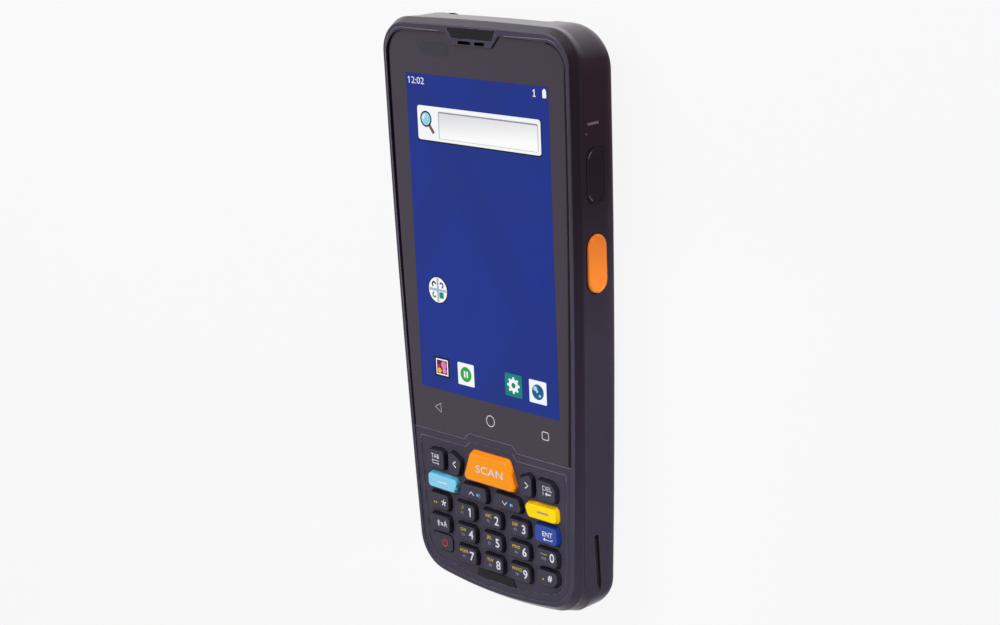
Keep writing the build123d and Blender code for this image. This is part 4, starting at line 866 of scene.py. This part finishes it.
def side_ring(name, y, z, length, width, corner, line):
    """Painted shade: dark ring on the side round an opening with round corners, where its gap lies in shade.
    """
    shaded_ring = []
    for across, along, start in ((1, 1, 0), (-1, 1, 90), (-1, -1, 180), (1, -1, 270)):
        middle = (across * (width / 2 - corner) - z, y + along * (length / 2 - corner))
        shaded_ring += arc_points(*middle, corner, start, start + 90, 8)
    return dress(wrap_on_side(stroke(name, shaded_ring, line, 0.0, closed=True)), black_and_painted_shade)


def add_flap_rim_shade():
    """Painted shade as a dark rounded rim on the edge of the port flap, with two painted highlights inside
    its front corners.
    """
    parts = [side_ring("flap_edge_shade", *FLAP_MIDDLE, 13.6, 6.3, 2.7, 0.6)]
    for y, start in ((45.5, 115), (37.3, 195)):
        glint = stroke("flap_glint", arc_points(-10.6, y, 2.3, start, start + 50, 7), 0.24, 0.0)
        parts.append(dress(wrap_on_side(glint), painted_lilac_highlight))
    rim = joined("flap_shade_and_glints", parts)
    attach(rim, "flap")


def add_trigger_gap_shade():
    # painted shade in the gap round each trigger
    ring = on_terminal(side_ring("trigger_gap_shade_right", *TRIGGER_MIDDLE, 15.7, 7.2, 3.6, 0.36))
    on_terminal(mirrored(ring, "trigger_gap_shade_left"))


def add_slit_shade():
    """Black depth of the strap slit on each side."""
    wide = stroke("slit_wide", [(-10.85, -55.5), (-9.75, -67.8)], 1.35, 0.0)
    nose = stroke("slit_nose", [(-9.75, -67.6), (-9.25, -70.0)], 0.6, 0.0)
    shadow = dress(wrap_on_side(joined("slit_shade_right", [wide, nose]), 0.35), black_and_painted_shade)
    on_terminal(shadow)
    on_terminal(mirrored(shadow, "slit_shade_left"))


def add_camera_ring():
    """Ring and dark iris, printed on the pane of the rear camera."""
    x, y = middle_of("camera_window")
    parts = [
        dress(flat_disc("camera_rim", x, y, 0.05, 3.1, hole=2.5), dark_steel),
        dress(flat_disc("camera_iris", x, y, 0.05, 2.2), black_and_painted_shade),
        dress(flat_disc("camera_eye", x, y, 0.03, 1.1), window_red),
    ]
    on_terminal(joined("camera_rings", parts))


def add_cover_grip_shade():
    """Row of grip lines on the battery cover, above its finger scoop, drawn black as painted shade of
    grooves.
    """
    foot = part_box("battery_cover")[0].y / MM
    lines = [
        dress(stroke("grip_shade_line", [(-width, foot + rise), (width, foot + rise)], 0.7, 0.05), black_and_painted_shade)
        for width, rise in ((9.0, 6.0), (8.0, 8.0), (7.0, 10.0), (6.0, 12.0))
    ]
    grip = joined("cover_grip_shade", lines)
    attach(grip, "cover")


def add_screen_picture():
    add_wallpaper()
    add_status_line()
    add_search_bar()
    add_magnifier()
    add_round_icon()
    add_picture_icon()
    add_call_icon()
    add_gear_icon()
    add_globe_icon()
    add_touch_icons()


# ---------------------------------------------------------------- legends on the keys
def key_middle(name):
    """Middle of a key, a little up, where its legend is centred."""
    x, y = middle_of(name)
    return x, y + 0.25


def print_on_key(name, parts, right=LEGEND_RIGHT, up=LEGEND_UP):
    """One legend of several printed parts, moved to its place on the raised face."""
    legend = joined(f"{name}_legend", parts)
    settle(legend, right, up)
    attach(legend, name)
    return legend


PRINT_LEVEL = KEY_FACE + PRINT_LIFT


def key_line(name, points, width, finish=print_white):
    return dress(stroke(name, points, width, PRINT_LEVEL), finish)


def key_word(name, words, x, y, height, width=None, bold=0.0, finish=print_white):
    return dress(lettering(name, words, x, y, PRINT_LEVEL, height, width, bold), finish)


def key_dot(x, y):
    return dress(flat_disc("dot", x, y, PRINT_LEVEL, 0.26, 14), print_yellow)


def add_digit_legends():
    letters = (".,?", "ABC", "DEF", "GHI", "JKL", "MNO", "PQRS", "TUV", "WXYZ")
    for digit, group in zip("123456789", letters):
        name = f"key_{digit}"
        x, y = key_middle(name)
        parts = [
            key_word("digit", digit, x + 1.4, y - 0.42, 2.45, None, 0.05),
            key_word("letters", group, x - 1.65, y + 0.45, 0.9, None, 0.015, print_yellow),
            key_word("second", f"F{digit}", x - 1.7, y - 1.1, 0.8, None, 0.01, print_lilac),
        ]
        if digit == "1":
            flag = [(x + 0.75, y + 0.25), (x + 1.4, y + 0.75)]
            parts.append(key_line("flag", flag, 0.34))
        print_on_key(name, parts)


def add_zero_legend():
    x, y = key_middle("key_0")
    space = [(x - 2.6, y + 0.6), (x - 2.6, y + 0.3), (x - 0.7, y + 0.3), (x - 0.7, y + 0.6)]
    parts = [
        key_word("digit", "0", x + 1.3, y - 0.15, 2.45, None, 0.05),
        key_line("space_mark", space, 0.22, print_yellow),
        key_word("second", "F10", x - 1.7, y - 0.9, 0.8, None, 0.01, print_lilac),
    ]
    print_on_key("key_0", parts)


def add_word_legends():
    parts = [key_word("word", "TAB", -21.75, -42.25, 1.25, 3.1, 0.01)]
    for shift, side in ((0.0, -1), (-0.8, 1)):
        middle = -43.55 + shift
        tip = -21.7 + side * 1.4
        head = [(tip - side * 0.5, middle + 0.35), (tip, middle), (tip - side * 0.5, middle - 0.35)]
        parts.append(key_line("tab_line", [(-23.1, middle), (-20.3, middle)], 0.18))
        parts.append(key_line("tab_head", head, 0.18))
    print_on_key("key_tab", parts)
    parts = [
        key_word("word", "DEL", 20.9, -42.25, 1.35, 3.3, -0.02),
        key_line("del_line", [(20.2, -43.75), (22.1, -43.75)], 0.4),
        key_line("del_head", [(20.7, -43.3), (20.15, -43.75), (20.7, -44.2)], 0.22),
        key_line("del_stop", [(19.35, -43.3), (19.35, -44.2)], 0.2),
    ]
    print_on_key("key_del", parts)
    parts = [
        key_word("word", "ENT", 20.3, -55.1, 1.4, 3.6, 0.02),
        key_line("enter_line", [(22.0, -56.1), (22.0, -56.65), (18.9, -56.65)], 0.26),
        key_line("enter_head", [(19.4, -56.25), (18.85, -56.65), (19.4, -57.05)], 0.24),
    ]
    print_on_key("key_enter", parts)


def add_arrow_legends():
    left = [(-13.65, -42.2), (-14.75, -43.05), (-13.65, -43.9)]
    print_on_key("key_left", [key_line("chevron", left, 0.34)])
    right = [(12.75, -42.15), (13.85, -43.0), (12.75, -43.85)]
    print_on_key("key_right", [key_line("chevron", right, 0.34)])
    for name, x, y, side, waves in (("key_up", -7.95, -50.05, 1, 2), ("key_down", 4.8, -49.95, -1, 1)):
        chevron = [(x - 0.9, y - side * 0.45), (x, y + side * 0.45), (x + 0.9, y - side * 0.45)]
        parts = [key_line("chevron", chevron, 0.3)]
        horn_x = x + 2.35
        parts.append(dress(flat_panel("horn", horn_x, y, PRINT_LEVEL, 0.7, 0.75, 0.1), print_blue))
        for wave in range(waves):
            bow = arc_points(horn_x + 0.2, y, 0.45 + 0.4 * wave, -50, 50, 7)
            parts.append(key_line("sound", bow, 0.14, print_blue))
        print_on_key(name, parts)


def add_sign_legends():
    x, y = -19.2, -55.45
    arms = [[(x, y), arc_points(x, y, 0.95, turn, turn, 2)[0]] for turn in (90, 162, 234, 306, 18)]
    parts = [key_line("arm", arm, 0.36) for arm in arms]
    parts += [key_dot(-22.9, -55.85), key_dot(-22.1, -55.85)]
    print_on_key("key_star", parts)
    print_on_key("key_hash", [key_word("sign", "#", 20.7, -67.5, 1.7, 1.5, 0.07), key_dot(18.2, -68.1)])
    parts = [
        dress(flat_panel("shift_stem", -21.65, -62.05, PRINT_LEVEL, 0.42, 1.2), print_white),
        dress(flat_disc("shift_head", -21.65, -61.45, PRINT_LEVEL, 0.68, 3), print_white),
        key_word("small", "a", -20.35, -61.85, 1.3, 1.0, 0.03),
        key_word("large", "A", -19.0, -61.6, 1.7, 1.35, 0.03),
    ]
    print_on_key("key_shift", parts)
    level = POWER_KEY_FACE + PRINT_LIFT
    parts = [
        dress(stroke("power_ring", arc_points(-19.6, -67.65, 1.0, 125, 415), 0.32, level), print_red),
        dress(stroke("power_bar", [(-19.6, -66.35), (-19.6, -67.4)], 0.32, level), print_red),
    ]
    print_on_key("key_power", parts, right=-0.15, up=0.17)
    print_on_key("key_cyan", [key_line("dash", [(-21.4, -49.65), (-17.5, -49.65)], 0.4)])
    dash = key_line("dash", [(16.9, -49.45), (20.9, -49.45)], 0.5, print_grey)
    print_on_key("key_yellow", [dash])


def add_scan_key():
    """Cap of the scan key, a hair lower on top than its solid, so that its lettering stays inside."""
    cap = bpy.data.objects.new("scan_key_cap", nodes["key_scan"].data.copy())
    bpy.context.collection.objects.link(cap)
    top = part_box("key_scan")[1].z
    for vertex in cap.data.vertices:
        if vertex.co.z > top - 0.3 * MM:
            vertex.co.z -= SCAN_KEY_DIP * MM
    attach(cap, "key_scan")
    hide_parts("key_scan")
    level = top / MM - SCAN_KEY_DIP + PRINT_LIFT
    word = dress(lettering("word", "SCAN", -0.2, -42.15, level, 2.1, 10.2, 0.0), print_white)
    print_on_key("key_scan", [word])


def add_key_legends():
    add_digit_legends()
    add_zero_legend()
    add_word_legends()
    add_arrow_legends()
    add_sign_legends()
    add_scan_key()


add_screen_picture()
add_sensor_window()
add_groove_shade()
add_glass_edge_highlight()
add_panel_frame_highlight()
add_lip_glint()
add_side_marks()
add_flap_rim_shade()
add_trigger_gap_shade()
add_slit_shade()
add_camera_ring()
add_cover_grip_shade()
add_key_legends()


# ---------------------------------------------------------------- floor, light and camera
def seen_directly(tree):
    """Bright where the camera sees a surface: straight on, in a reflection or through glass."""
    path = add_node(tree, "ShaderNodeLightPath")
    seen = add_node(tree, "ShaderNodeMath", operation="MAXIMUM",
                    links={0: path.outputs["Is Camera Ray"], 1: path.outputs["Is Glossy Ray"]})
    return add_node(tree, "ShaderNodeMath", operation="MAXIMUM",
                    links={0: seen.outputs[0], 1: path.outputs["Is Transmission Ray"]})


def floor_material():
    """Pale floor that keeps the shadow, and reads as white behind the terminal."""
    plain = {"Base Color": (0.45, 0.45, 0.45, 1.0), "Roughness": 0.9, "Specular IOR Level": 0.0}
    material, tree, shader = new_material("studio_floor", plain)
    glow = add_node(tree, "ShaderNodeEmission", {"Strength": 1.0})
    share = add_node(tree, "ShaderNodeMath", {1: 0.9}, {0: seen_directly(tree).outputs[0]},
                     operation="MULTIPLY")
    mixed = add_node(tree, "ShaderNodeMixShader",
                     links={0: share.outputs[0], 1: shader.outputs[0], 2: glow.outputs[0]})
    tree.links.new(mixed.outputs[0], tree.nodes["Material Output"].inputs["Surface"])
    return material


def add_floor():
    deselect_all()
    bpy.ops.mesh.primitive_plane_add(size=6.0)
    floor = name_piece(bpy.context.object, "studio_floor")
    settle(floor, 0, 0, -0.3)
    dress(floor, floor_material())


def soft_panel(name, place, aim, width, height, power, colour=(1.0, 1.0, 1.0), spread=180.0,
               shows_in_gloss=False):
    """Studio lamp at place, facing aim; a narrow spread keeps its light to its own strip."""
    lamp = bpy.data.lights.new(name, "AREA")
    lamp.shape = "RECTANGLE"
    lamp.size = width
    lamp.size_y = height
    lamp.energy = power
    lamp.color = colour
    lamp.spread = math.radians(spread)
    stand = bpy.data.objects.new(name, lamp)
    bpy.context.collection.objects.link(stand)
    stand.location = place
    stand.rotation_euler = (Vector(aim) - Vector(place)).to_track_quat("-Z", "Y").to_euler()
    stand.visible_glossy = shows_in_gloss


def add_lights():
    soft_panel("front_panel", (-0.3, 0.5, 0.6), (0.0, 0.0, 0.0), 0.6, 0.6, 5.4, shows_in_gloss=True)
    soft_panel("top_end_panel", (0.08, 0.6, 0.2), (0.0, 0.08, 0.01), 0.35, 0.35, 2.5, (0.86, 0.83, 1.0))
    soft_panel("low_side_panel", (0.2, -0.045, 0.045), (0.035, -0.045, 0.01), 0.13, 0.03, 0.019,
               (0.92, 0.95, 1.0), 20.0)
    soft_panel("heel_panel", (-0.03, -0.42, 0.09), (0.0, -0.07, 0.015), 0.12, 0.12, 0.4, (0.95, 0.93, 1.0))
    soft_panel("warm_side", (0.25, 0.2, 0.03), (0.035, 0.07, 0.006), 0.08, 0.08, 0.012,
               (1.0, 0.12, 0.2), 30.0)


def set_world():
    world = bpy.data.worlds.new("studio")
    world.use_nodes = True
    bpy.context.scene.world = world
    tree = world.node_tree
    background = tree.nodes["Background"]
    level = add_node(tree, "ShaderNodeMapRange", {"To Min": 0.25, "To Max": 1.0},
                     {"Value": seen_directly(tree).outputs[0]})
    tree.links.new(level.outputs["Result"], background.inputs["Strength"])
    background.inputs["Color"].default_value = (1.0, 1.0, 1.0, 1.0)


CAMERA_PLACE = (0.369285, 0.13966, 0.37392)
CAMERA_RIGHT = Vector((0.7075, -0.0407, -0.7056))
CAMERA_DOWN = Vector((0.1553, -0.9650, 0.2115))
CAMERA_FORWARD = Vector((-0.6895, -0.2592, -0.6764))


def add_camera():
    """Camera at the view from the upper right, rolled so that the terminal stands upright."""
    lens = bpy.data.cameras.new("studio_camera")
    lens.sensor_width = 36.0
    lens.lens = 72.785
    lens.clip_start = 0.01
    camera = bpy.data.objects.new("studio_camera", lens)
    bpy.context.collection.objects.link(camera)
    turn = Matrix((CAMERA_RIGHT, -CAMERA_DOWN, -CAMERA_FORWARD)).transposed()
    camera.matrix_world = Matrix.Translation(CAMERA_PLACE) @ turn.to_4x4()
    bpy.context.scene.camera = camera


add_floor()
add_lights()
set_world()
add_camera()
bpy.context.scene.view_settings.view_transform = "Standard"
